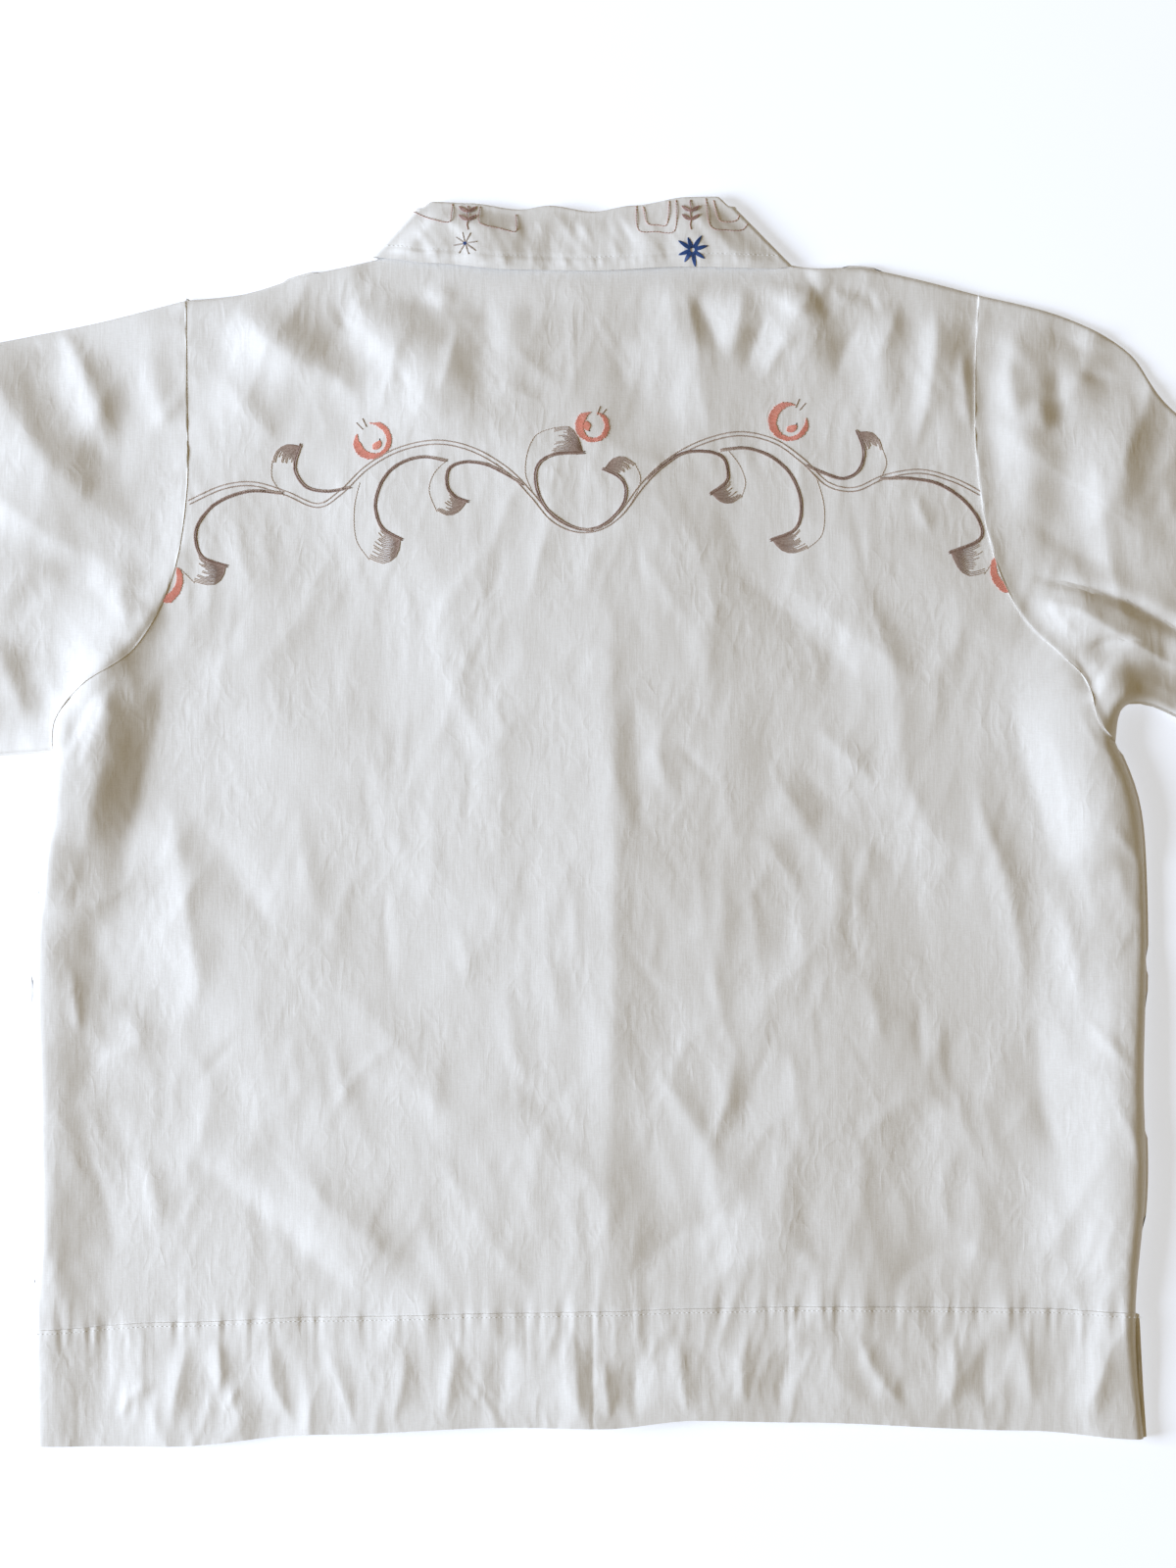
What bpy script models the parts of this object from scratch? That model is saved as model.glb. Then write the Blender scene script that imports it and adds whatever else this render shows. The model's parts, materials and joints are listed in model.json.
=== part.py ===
"""A shirt jacket laid face down on a table, built as it is cut and sewn.

Units are metres, +Z is up and +Y runs from hem to collar. X is across, and the wearer's
left is at -X. Each cloth piece is a wall: an outer face and an inner face, closed by rims.
Upper pieces lie on lower ones, and both turn round the garment's outline in a half-round
fold, so the whole is one flattened tube that is open at the neck, the hem and the cuffs.
"""

import math
from collections import namedtuple

import bmesh
import bpy
from mathutils import Vector

# ---- Driving dimensions -------------------------------------------------------------

CLOTH = 0.0012  # one layer of linen and cotton, with what its seams add
BAND_CLOTH = 0.0018  # the hem band is folded double
SEAM = 0.0003  # gap between two pieces where they are sewn
LAY = 0.0034  # outer face of the upper layer where it lies on the lower one
BAND_RISE = 0.0013  # the band's double cloth lies this much higher

BUTTON_RADIUS = 0.0075
BUTTON_HEIGHT = 0.0024
BUTTONS_ON_FRONT = 5
TOP_BUTTON_Y = 0.205
LOW_BUTTON_Y = -0.265
BAND_BUTTON_Y = -0.328

LAP = 0.015  # each front passes the centre line by this much
LAP_FLAT = 0.028  # the fronts lie level over the buttons this far from the centre
LAP_RAMP = 0.024  # and fall to the table over this width
OUTER_LAP_LIFT = BUTTON_HEIGHT + SEAM
INNER_LAP_LIFT = OUTER_LAP_LIFT + CLOTH + SEAM
BAND_INNER_LIFT = OUTER_LAP_LIFT + BAND_CLOTH + SEAM

CREST_X = 0.011  # the back peaks here, over the lapped fronts
CREST_HEIGHT = 0.0048
CREST_REACH = 0.23

NECK_FRONT_Y = 0.2275  # the front neckline at the centre
NECK_LIFT = 0.0018  # the collar's fall lies under the fronts here
NECK_TOP = 0.0048  # outer face of the back where it meets the collar

COLLAR_CENTRE = 0.5 * (NECK_LIFT + NECK_TOP)  # height that the collar turns about
STAND_RHO = 0.0009  # mid-wall distance of the stand from that height
FALL_RHO = 0.0027  # and of the fall

BAND_SEAM_X = 0.003  # centre-back seam of the hem band

# ---- The cut, as laid ---------------------------------------------------------------

At = namedtuple("At", "x y")
Hem = namedtuple("Hem", "x seam edge")
Fold = namedtuple("Fold", "x0 y0 x1 y1 width height")
Laid = namedtuple("Laid", "side armhole shoulder underarm sleeve_top")
Dip = namedtuple("Dip", "x share")

LEFT = Laid(
    side=[
        At(-0.3095, -0.371),
        At(-0.311, -0.302),
        At(-0.308, -0.253),
        At(-0.309, -0.165),
        At(-0.3105, -0.100),
        At(-0.304, -0.030),
        At(-0.2998, 0.0187),
    ],
    armhole=[
        At(-0.2998, 0.0187),
        At(-0.2980, 0.037),
        At(-0.2830, 0.0555),
        At(-0.2530, 0.077),
        At(-0.2330, 0.116),
        At(-0.2250, 0.165),
        At(-0.2250, 0.220),
        At(-0.2255, 0.271),
    ],
    shoulder=[
        At(-0.2255, 0.271),
        At(-0.193, 0.2745),
        At(-0.160, 0.2845),
        At(-0.132, 0.2905),
        At(-0.104, 0.2975),
    ],
    underarm=[
        At(-0.2998, 0.0187),
        At(-0.360, 0.0155),
        At(-0.500, 0.010),
        At(-0.650, 0.010),
        At(-0.790, 0.014),
    ],
    sleeve_top=[
        At(-0.2255, 0.271),
        At(-0.275, 0.2585),
        At(-0.330, 0.2475),
        At(-0.460, 0.221),
        At(-0.630, 0.184),
        At(-0.793, 0.154),
    ],
)
RIGHT = Laid(
    side=[
        At(0.3110, -0.3665),
        At(0.3065, -0.296),
        At(0.3120, -0.225),
        At(0.3110, -0.165),
        At(0.3125, -0.080),
        At(0.3085, -0.015),
        At(0.2950, 0.0235),
    ],
    armhole=[
        At(0.2950, 0.0235),
        At(0.2850, 0.0350),
        At(0.2785, 0.0580),
        At(0.2630, 0.0740),
        At(0.2440, 0.0930),
        At(0.2280, 0.1260),
        At(0.2185, 0.1750),
        At(0.2170, 0.2250),
        At(0.2190, 0.2740),
    ],
    shoulder=[
        At(0.2190, 0.2740),
        At(0.1860, 0.2825),
        At(0.1540, 0.2890),
        At(0.1260, 0.2890),
        At(0.1040, 0.2925),
    ],
    underarm=[
        At(0.2950, 0.0235),
        At(0.3010, 0.0440),
        At(0.3300, 0.0385),
        At(0.4200, -0.0180),
        At(0.5300, -0.1000),
        At(0.6354, -0.1745),
    ],
    sleeve_top=[
        At(0.2190, 0.2740),
        At(0.2660, 0.2620),
        At(0.3030, 0.2420),
        At(0.3320, 0.2060),
        At(0.4200, 0.1470),
        At(0.5650, 0.0430),
        At(0.7086, -0.0575),
    ],
)
HEM = [
    Hem(-0.3110, -0.3060, -0.3710),
    Hem(-0.2350, -0.3020, -0.3710),
    Hem(-0.1500, -0.2990, -0.3640),
    Hem(-0.0450, -0.2965, -0.3600),
    Hem(0.0100, -0.2955, -0.3605),
    Hem(0.0600, -0.2940, -0.3560),
    Hem(0.1200, -0.2930, -0.3573),
    Hem(0.2450, -0.2940, -0.3620),
    Hem(0.3110, -0.2960, -0.3665),
]
COLLAR_FOLD_LEFT = [  # the collar's top edge, from its side to the end of the left front
    At(-0.0940, 0.3225),
    At(-0.0900, 0.3030),
    At(-0.0740, 0.2780),
    At(-0.0460, 0.2610),
    At(-0.0190, 0.2545),
]
COLLAR_FOLD_RIGHT = [
    At(0.0800, 0.3235),
    At(0.0810, 0.3030),
    At(0.0700, 0.2780),
    At(0.0450, 0.2610),
    At(0.0190, 0.2545),
]
COLLAR_EDGE_LEFT = [  # the fall's lower edge, from its side to the left front's point
    At(-0.1175, 0.2965),
    At(-0.1165, 0.2760),
    At(-0.1020, 0.2420),
    At(-0.0760, 0.2130),
    At(-0.0420, 0.1950),
]
COLLAR_EDGE_RIGHT = [
    At(0.1115, 0.2922),
    At(0.1120, 0.2700),
    At(0.1000, 0.2400),
    At(0.0760, 0.2130),
    At(0.0420, 0.1950),
]
NECK_BACK = [At(-0.104, 0.2975), At(0.0, 0.2970), At(0.104, 0.2925)]
NECK_FRONT = [  # distance from the centre, and share of the way down from the neck's side
    Dip(0.104, 0.0),
    Dip(0.0985, 0.40),
    Dip(0.080, 0.707),
    Dip(0.050, 0.907),
    Dip(0.017, 0.993),
    Dip(-LAP, 1.0),
]
COLLAR_FOLD = [  # the collar's top edge across the back
    At(-0.0940, 0.3225),
    At(-0.0870, 0.3262),
    At(-0.0670, 0.3253),
    At(-0.0377, 0.3218),
    At(-0.0220, 0.3240),
    At(0.0030, 0.3206),
    At(0.0250, 0.3240),
    At(0.0565, 0.3288),
    At(0.0720, 0.3290),
    At(0.0800, 0.3235),
]
COLLAR_EDGE = [  # the fall's lower edge across the back
    At(-0.1175, 0.2965),
    At(-0.1120, 0.2948),
    At(-0.0880, 0.2915),
    At(-0.0440, 0.2880),
    At(0.0000, 0.2873),
    At(0.0550, 0.2895),
    At(0.1050, 0.2885),
    At(0.1115, 0.2922),
]
FOLDS = [  # the largest folds, as soft ridges
    Fold(-0.276, 0.078, -0.300, -0.025, 0.022, 0.0060),
    Fold(-0.303, -0.010, -0.304, -0.370, 0.019, 0.0056),
    Fold(0.262, 0.066, 0.297, -0.050, 0.024, 0.0052),
    Fold(0.301, -0.040, 0.303, -0.366, 0.023, 0.0058),
    Fold(-0.202, 0.262, -0.118, 0.218, 0.013, 0.0036),
    Fold(-0.120, 0.272, -0.074, 0.205, 0.019, 0.0044),
    Fold(-0.040, 0.270, -0.046, 0.205, 0.010, 0.0016),
    Fold(0.052, 0.270, 0.066, 0.200, 0.013, 0.0024),
    Fold(0.118, 0.276, 0.124, 0.232, 0.015, 0.0040),
    Fold(0.162, 0.276, 0.170, 0.196, 0.011, 0.0026),
    Fold(0.200, 0.268, 0.203, 0.190, 0.010, 0.0030),
    Fold(-0.240, -0.060, -0.150, -0.190, 0.024, 0.0018),
    Fold(-0.215, -0.205, -0.090, -0.285, 0.018, 0.0022),
    Fold(0.080, -0.240, 0.180, -0.275, 0.022, 0.0020),
    Fold(-0.410, 0.226, -0.262, 0.208, 0.017, 0.0050),
    Fold(-0.560, 0.140, -0.250, 0.134, 0.022, 0.0046),
    Fold(-0.480, 0.052, -0.275, 0.084, 0.018, 0.0040),
    Fold(-0.700, 0.095, -0.520, 0.105, 0.020, 0.0030),
    Fold(0.240, 0.236, 0.252, 0.140, 0.014, 0.0036),
    Fold(0.276, 0.214, 0.312, 0.120, 0.024, 0.0052),
    Fold(0.268, 0.112, 0.420, 0.040, 0.016, 0.0068),
    Fold(0.284, 0.060, 0.304, 0.046, 0.012, 0.0048),
    Fold(0.420, 0.105, 0.600, -0.030, 0.022, 0.0040),
    Fold(0.520, -0.020, 0.640, -0.110, 0.018, 0.0030),
]

# Rows up a panel, as shares of its height. The armpit lies on ARMPIT, and rows gather
# where the cloth turns round the underarm and the shoulder.
ARMPIT = 0.55
SIDE_ROWS = 8
ARMHOLE_SHARES = [0.0, 0.012, 0.04, 0.10, 0.21, 0.34, 0.48, 0.62, 0.76, 0.88, 0.957, 0.988, 1.0]
# Columns across a panel, as shares of its width, and the collar's stations along the neck.
BACK_SHOULDER = 0.26
FRONT_SHOULDER = 0.5
SHOULDER_SHARES = [0.0, 0.0036, 0.0138, 0.0275, 0.26, 0.50, 0.76, 1.0]
BACK_NECK_SHARES = [0.02, 0.125, 0.25, 0.375, 0.5, 0.625, 0.75, 0.875, 0.98]
FRONT_NECK_SHARES = [0.03, 0.14, 0.26, 0.38, 0.50, 0.62, 0.74, 0.87, 1.0]
COLLAR_SHARES = [0.0, *FRONT_NECK_SHARES[:7]]  # the collar stops where it clears the lap


def smooth(value):
    """0 below 0, 1 above 1 and an S-curve between."""
    value = min(1.0, max(0.0, value))
    return value * value * (3 - 2 * value)


def cubic(t, a, b, c, d):
    """A value between b and c that passes smoothly on from a and to d."""
    return b + 0.5 * t * (c - a + t * (2 * a - 5 * b + 4 * c - d + t * (3 * b - a - 3 * c + d)))


def path(points, steps=10):
    """A function of 0 to 1, even in length, along a smooth curve through the points."""
    ends = [points[0], *points, points[-1]]
    line = []
    for a, b, c, d in zip(ends, ends[1:], ends[2:], ends[3:]):
        for step in range(steps):
            line.append([cubic(step / steps, a[k], b[k], c[k], d[k]) for k in (0, 1)])
    line.append(list(points[-1][:2]))
    reach = [0.0]
    for a, b in zip(line, line[1:]):
        reach.append(reach[-1] + math.dist(a, b))

    def point(t):
        wanted = min(1.0, max(0.0, t)) * reach[-1]
        i = next((k for k, r in enumerate(reach[1:]) if r >= wanted), len(line) - 2)
        share = (wanted - reach[i]) / (reach[i + 1] - reach[i])
        return Vector(line[i]).lerp(Vector(line[i + 1]), share)

    return point


def joined(first, second, at):
    """Two paths as one: the first up to the share at, and the second after it."""
    return lambda t: first(t / at) if t <= at else second((t - at) / (1 - at))


def shifted(along, by, step=0.002):
    """A path moved sideways, to the right of its own direction."""

    def point(t):
        ahead = along(min(1.0, t + step)) - along(max(0.0, t - step))
        ahead.normalize()
        return along(t) + by * Vector((ahead.y, -ahead.x))

    return point


def height_on(points, key):
    """A function of x, smooth between the rows of a table."""

    def value(x):
        x = min(points[-1].x, max(points[0].x, x))
        i = next(k for k in range(1, len(points)) if points[k].x >= x)
        a, b = points[i - 1], points[i]
        return getattr(a, key) + smooth((x - a.x) / (b.x - a.x)) * (getattr(b, key) - getattr(a, key))

    return value


def coons(bottom, top, left, right):
    """A function of (across, up) that fills the space between four paths."""
    corners = [bottom(0), bottom(1), top(0), top(1)]

    def point(across, up):
        ruled = bottom(across) * (1 - up) + top(across) * up + left(up) * (1 - across) + right(up) * across
        low = corners[0] * (1 - across) + corners[1] * across
        high = corners[2] * (1 - across) + corners[3] * across
        return ruled - low * (1 - up) - high * up

    return point


hem_seam, hem_edge = height_on(HEM, "seam"), height_on(HEM, "edge")

# ---- Heights ------------------------------------------------------------------------


def outline_lines():
    """The lines that the cloth turns round, each with the garment on its right."""
    chains = [
        (LEFT.side, LEFT.underarm),
        (LEFT.sleeve_top[::-1], LEFT.shoulder),
        (RIGHT.underarm[::-1], RIGHT.side[::-1]),
        (RIGHT.shoulder[::-1], RIGHT.sleeve_top),
    ]
    samples = 48
    return [[path(part)(k / samples) for part in chain for k in range(samples + 1)] for chain in chains]


OUTLINE = [pair for line in outline_lines() for pair in zip(line, line[1:]) if pair[0] != pair[1]]


def nearest_outline(point):
    """How far the outline is, the way inwards from it, and its nearest point."""
    best, inwards, foot = math.inf, Vector((0, 0)), point
    for a, b in OUTLINE:
        run = b - a
        t = min(1.0, max(0.0, (point - a).dot(run) / run.length_squared))
        near = a + t * run
        gap = (point - near).length
        if gap < best:
            side = Vector((run.y, -run.x)).normalized()
            best, foot = gap, near
            inwards = (point - near) / gap if gap > 1e-6 else side
    return best, inwards, foot


def ridge(point, fold):
    """Height of one soft ridge over a straight line."""
    a, run = Vector((fold.x0, fold.y0)), Vector((fold.x1 - fold.x0, fold.y1 - fold.y0))
    t = min(1.0, max(0.0, (point - a).dot(run) / run.length_squared))
    away = (point - a - t * run).length
    return fold.height * math.exp(-((away / fold.width) ** 2))


def neck_zone(point):
    """1 where the collar lies under or over the panels, 0 away from it."""
    return smooth((1.25 - math.hypot(point.x / 0.134, min(0.0, point.y - 0.2975) / 0.113)) / 0.3)


def below_collar(point):
    """0 under the collar's fall, 1 where the back lies free."""
    return max(smooth((0.285 - point.y) / 0.024), smooth((abs(point.x) - 0.124) / 0.016))


def upper_height(point):
    """Outer face of the upper layer, before it turns down at the outline."""
    crest = max(0.0, 1 - abs(point.x - CREST_X) / CREST_REACH) ** 1.3
    free = CREST_HEIGHT * crest * smooth((0.275 - point.y) / 0.03)
    free += sum(ridge(point, fold) for fold in FOLDS)
    return LAY + (NECK_TOP - LAY) * neck_zone(point) + free * below_collar(point)


def lower_height(point, lap=0.0):
    """Outer face of the lower layer. lap is its lift near the centre, over the buttons."""
    over_buttons = lap * smooth(1 - (abs(point.x) - LAP_FLAT) / LAP_RAMP)
    return max(NECK_LIFT * neck_zone(point), over_buttons)


def wall_points(point, side, lap=0.0, cloth=CLOTH, rise=0.0, split=0.0):
    """Outer and inner point of a wall over a plan point. side is 1 for the upper layer, -1 for the lower.

    Within the fold's radius of the outline, the wall follows a half-round to its middle height,
    and split keeps it that far from the middle, for a seam on the fold.
    """
    away, inwards, foot = nearest_outline(point)
    foot_top, foot_low = upper_height(foot) + rise, lower_height(foot)
    middle, radius = 0.5 * (foot_top + foot_low), 0.5 * (foot_top - foot_low)
    level = upper_height(point) + rise if side > 0 else lower_height(point, lap)
    cosine = max(0.0, 1 - away / radius)
    sine = math.sqrt(1 - cosine * cosine)
    height = middle + (level - middle) * sine
    if cosine > 0:
        height = max(height, middle + split) if side > 0 else min(height, middle - split)
    outer = Vector((point.x, point.y, height))
    into = Vector((inwards.x * cosine, inwards.y * cosine, -side * sine))
    return outer, outer + cloth * into


# ---- Meshes -------------------------------------------------------------------------

LINEN = (0.83, 0.82, 0.79)
SHELL = (0.72, 0.69, 0.62)


def material(name, colour, roughness):
    made = bpy.data.materials.new(name)
    made.use_nodes = True
    shader = made.node_tree.nodes["Principled BSDF"]
    shader.inputs["Base Color"].default_value = (*colour, 1)
    shader.inputs["Roughness"].default_value = roughness
    shader.inputs["Metallic"].default_value = 0.0
    return made


def add_object(name, mesh, colour, roughness):
    mesh.materials.append(material(name, colour, roughness))
    made = bpy.data.objects.new(name, mesh)
    bpy.context.scene.collection.objects.link(made)
    return made


def wall(name, pairs, wrap=False, colour=LINEN):
    """A closed wall from rows of (outer, inner) points. wrap joins each row's last point to its first."""
    shape = bmesh.new()
    faces = [[[shape.verts.new(pair[k]) for pair in row] for row in pairs] for k in (0, 1)]
    outer, inner = faces
    rows, columns = len(pairs), len(pairs[0])
    last = columns if wrap else columns - 1
    for i in range(last):
        k = (i + 1) % columns
        for j in range(rows - 1):
            shape.faces.new((outer[j][i], outer[j][k], outer[j + 1][k], outer[j + 1][i]))
            shape.faces.new((inner[j][k], inner[j][i], inner[j + 1][i], inner[j + 1][k]))
        shape.faces.new((outer[0][k], outer[0][i], inner[0][i], inner[0][k]))
        shape.faces.new((outer[-1][i], outer[-1][k], inner[-1][k], inner[-1][i]))
    if not wrap:
        for j in range(rows - 1):
            shape.faces.new((outer[j][0], outer[j + 1][0], inner[j + 1][0], inner[j][0]))
            shape.faces.new((outer[j + 1][-1], outer[j][-1], inner[j][-1], inner[j + 1][-1]))
    if shape.calc_volume(signed=True) < 0:
        bmesh.ops.reverse_faces(shape, faces=shape.faces)
    mesh = bpy.data.meshes.new(name)
    shape.to_mesh(mesh)
    shape.free()
    mesh.shade_smooth()
    mesh.set_sharp_from_angle(angle=math.radians(40))
    return add_object(name, mesh, colour, 0.8)


# ---- Body panels --------------------------------------------------------------------


def side_above_hem(laid):
    """The side from the hem seam to the armpit: the part of the outline above the band."""
    full = path(laid.side)
    start = next(k / 400 for k in range(400) if full(k / 400).y > hem_seam(full(k / 400).x) + SEAM / 2)
    return lambda t: full(start + (1 - start) * t)


def panel_edge(laid):
    """A panel's outer edge from hem to shoulder: the side seam, then the armhole."""
    return joined(side_above_hem(laid), path(laid.armhole), ARMPIT)


def panel_rows():
    """Shares of the height where a panel has rows."""
    side = [ARMPIT * k / SIDE_ROWS for k in range(SIDE_ROWS)]
    return side + [ARMPIT + (1 - ARMPIT) * share for share in ARMHOLE_SHARES]


def seam_path(x0, x1):
    """Along the hem seam from x0 to x1, half a seam above it."""
    return lambda t: Vector((x0 + (x1 - x0) * t, hem_seam(x0 + (x1 - x0) * t) + SEAM / 2))


def panel(name, edge, other, top, across, side, lap=0.0):
    """A body panel between its outer edge, its other edge, the hem seam and its top."""
    surface = coons(seam_path(edge(0).x, other(0).x), top, edge, other)
    rows = [[wall_points(surface(r, s), side, lap, split=SEAM) for r in across] for s in panel_rows()]
    return wall(name, rows)


def back_columns():
    half = [BACK_SHOULDER * share for share in SHOULDER_SHARES]
    neck = [BACK_SHOULDER + (1 - 2 * BACK_SHOULDER) * share for share in BACK_NECK_SHARES]
    return half + neck + [1 - share for share in half[::-1]]


def front_columns():
    shoulder = [FRONT_SHOULDER * share for share in SHOULDER_SHARES]
    return shoulder + [FRONT_SHOULDER + (1 - FRONT_SHOULDER) * share for share in FRONT_NECK_SHARES]


def back_panel():
    second = (1 - 2 * BACK_SHOULDER) / (1 - BACK_SHOULDER)
    neck_and_right = joined(path(NECK_BACK), path(RIGHT.shoulder[::-1]), second)
    top = joined(path(LEFT.shoulder), neck_and_right, BACK_SHOULDER)
    return panel("back_panel", panel_edge(LEFT), panel_edge(RIGHT), top, back_columns(), 1)


def front_neck(laid, mirror):
    """The front neckline from the neck's side to the lap. mirror is 1 for the wearer's left."""
    high = laid.shoulder[-1].y
    return path([At(-mirror * row.x, high + (NECK_FRONT_Y - high) * row.share) for row in NECK_FRONT])


def front_panel(name, laid, mirror, lap_lift):
    """One front, from its outer edge to its lap past the centre."""
    neck = front_neck(laid, mirror)
    lap_x = mirror * LAP
    edge = path([At(lap_x, hem_seam(lap_x) + SEAM / 2), At(lap_x, neck(1).y)])
    top = joined(path(laid.shoulder), neck, FRONT_SHOULDER)
    return panel(name, panel_edge(laid), edge, top, front_columns(), -1, lap_lift)


# ---- Sleeves ------------------------------------------------------------------------

SLEEVE_RINGS = [0.0, 0.03, 0.09, 0.16, 0.24, 0.33, 0.44, 0.56, 0.70, 0.85, 1.0]


def sleeve(name, laid, outwards):
    """A one-piece sleeve: rings from the armhole to a plain cuff, seamed under the arm."""
    armhole = shifted(path(laid.armhole), outwards * SEAM)
    underarm, over = path(laid.underarm), path(laid.sleeve_top)

    def cuff(t):
        return underarm(1).lerp(over(1), t)

    def from_armhole(along, start):
        return lambda t: along(t) + (start - along(0)) * (1 - t)

    surface = coons(
        armhole, cuff, from_armhole(underarm, armhole(0)), from_armhole(over, armhole(1))
    )
    rows = []
    for k in SLEEVE_RINGS:
        plan = [surface(q, k) for q in ARMHOLE_SHARES]
        upper = [wall_points(point, 1) for point in plan]
        lower = [wall_points(point, -1) for point in plan[1:-1]]
        rows.append(upper + lower[::-1])
    return wall(name, rows, wrap=True)


# ---- Hem band -----------------------------------------------------------------------

BAND_ROWS = 3


def hem_band(name, laid, mirror, lap):
    """Half of the band: from the centre-back seam, round the side fold, to the lap in front."""
    low, high = path(laid.side)(0), side_above_hem(laid)(0)
    seam_x, lap_x = BAND_SEAM_X - mirror * SEAM / 2, mirror * LAP
    whole = (LEFT.side[1].x - RIGHT.side[1].x) / (LEFT.side[1].x - BAND_SEAM_X)
    if mirror < 0:
        whole = (RIGHT.side[1].x - LEFT.side[1].x) / (RIGHT.side[1].x - BAND_SEAM_X)
    behind = [share * whole for share in back_columns() if share * whole < 0.97] + [1.0]

    def plan(share, up, inner_x):
        """A point of the band, share from the side fold to inner_x and up from its edge to the seam."""
        fold = low.lerp(high, up)
        x = fold.x + (inner_x - fold.x) * share
        edge, seam = hem_edge(x), hem_seam(x) - SEAM / 2
        return Vector((x, edge + (seam - edge) * up))

    rows = []
    for j in range(BAND_ROWS + 1):
        up = j / BAND_ROWS
        upper = [wall_points(plan(share, up, seam_x), 1, lap, BAND_CLOTH, BAND_RISE) for share in behind]
        lower = [wall_points(plan(share, up, lap_x), -1, lap, BAND_CLOTH, BAND_RISE) for share in front_columns()]
        rows.append(upper[::-1] + lower[1:])
    return wall(name, rows)


# ---- Collar -------------------------------------------------------------------------

STAND_SIDE = 0.0015  # the stand turns this far inside the neck's side points
TURN_ANGLES = [math.radians(angle) for angle in (36, 72, 108, 144)]
BACK_STATIONS = 12


def seam_front(laid, mirror):
    """The collar's seam to one front, half of it each side of the seam gap."""
    inside = shifted(front_neck(laid, mirror), -mirror * SEAM)
    side = Vector((-mirror * (NECK_FRONT[0].x - STAND_SIDE), laid.shoulder[-1].y + SEAM))
    return lambda t: side if t == 0 else inside(t * COLLAR_SHARES[-1])


def seam_back(t):
    """The collar's seam to the back, from left to right."""
    half = NECK_FRONT[0].x - STAND_SIDE
    x = half * (2 * t - 1)
    share = (x + NECK_FRONT[0].x) / (2 * NECK_FRONT[0].x)
    return Vector((x, path(NECK_BACK)(share).y + SEAM))


def table_back(points):
    """A path along a table's rows, from left to right, even in x."""
    along = height_on(points, "y")
    x0, x1 = points[0].x, points[-1].x
    return lambda t: Vector((x0 + (x1 - x0) * t, along(x0 + (x1 - x0) * t)))


# The three lines round the neck: left front, back and right front.
Line = namedtuple("Line", "left back right")
COLLAR_SEAM = Line(seam_front(LEFT, 1), seam_back, seam_front(RIGHT, -1))
COLLAR_TOP = Line(path(COLLAR_FOLD_LEFT), table_back(COLLAR_FOLD), path(COLLAR_FOLD_RIGHT))
COLLAR_LOW = Line(path(COLLAR_EDGE_LEFT), table_back(COLLAR_EDGE), path(COLLAR_EDGE_RIGHT))


def collar_stations():
    """Places round the neck, from the left front's end to the right front's: part, share, turn."""
    shares = [share / COLLAR_SHARES[-1] for share in COLLAR_SHARES]
    left = [("left", share, 0.0) for share in shares[:0:-1]]
    left_turn = [("left", 0.0, angle) for angle in [0.0, *TURN_ANGLES]]
    back = [("back", k / BACK_STATIONS, math.pi) for k in range(BACK_STATIONS + 1)]
    right_turn = [("right", 0.0, angle) for angle in [*TURN_ANGLES[::-1], 0.0]]
    return left + left_turn + back + right_turn + [("right", share, 0.0) for share in shares[1:]]


def on_line(line, station, rho):
    """A point of one line round the neck, rho from the collar's middle height."""
    part, share, turn = station
    plan = getattr(line, part)(share)
    outwards = -1 if part == "left" else 1
    out = rho * math.sin(turn) if part != "back" else 0.0
    return Vector((plan.x + outwards * out, plan.y, COLLAR_CENTRE - rho * math.cos(turn)))


def collar_profile():
    """The folded collar's wall, seam to fold to lower edge: line, next line, share, rho, rise and normal."""
    fold_radius = 0.5 * (FALL_RHO - STAND_RHO)
    top = -(fold_radius + CLOTH / 2)
    found = [(COLLAR_SEAM, COLLAR_TOP, share, STAND_RHO, top * share, (-1, 0)) for share in (0.0, 0.5, 1.0)]
    for angle in (135, 90, 45):
        a = math.radians(angle)
        rho = 0.5 * (FALL_RHO + STAND_RHO) + fold_radius * math.cos(a)
        found.append((COLLAR_SEAM, COLLAR_TOP, 1.0, rho, top + fold_radius * math.sin(a), (math.cos(a), math.sin(a))))
    found += [(COLLAR_TOP, COLLAR_LOW, share, FALL_RHO, top * (1 - share), (1, 0)) for share in (0.0, 0.3, 0.65, 1.0)]
    return found


def collar():
    """The one-piece collar, turned down: its stand rises from the neckline and its fall covers it."""
    profile = collar_profile()
    rows = []
    for station in collar_stations():
        row = []
        for line, following, share, rho, rise, normal in profile:
            pair = []
            for side in (1, -1):
                radius = rho + side * CLOTH / 2 * normal[0]
                point = on_line(line, station, radius).lerp(on_line(following, station, radius), share)
                point.y += rise + side * CLOTH / 2 * normal[1]
                pair.append(point)
            row.append(tuple(pair))
        rows.append(row)
    return wall("collar", rows)


# ---- Buttons ------------------------------------------------------------------------


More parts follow.
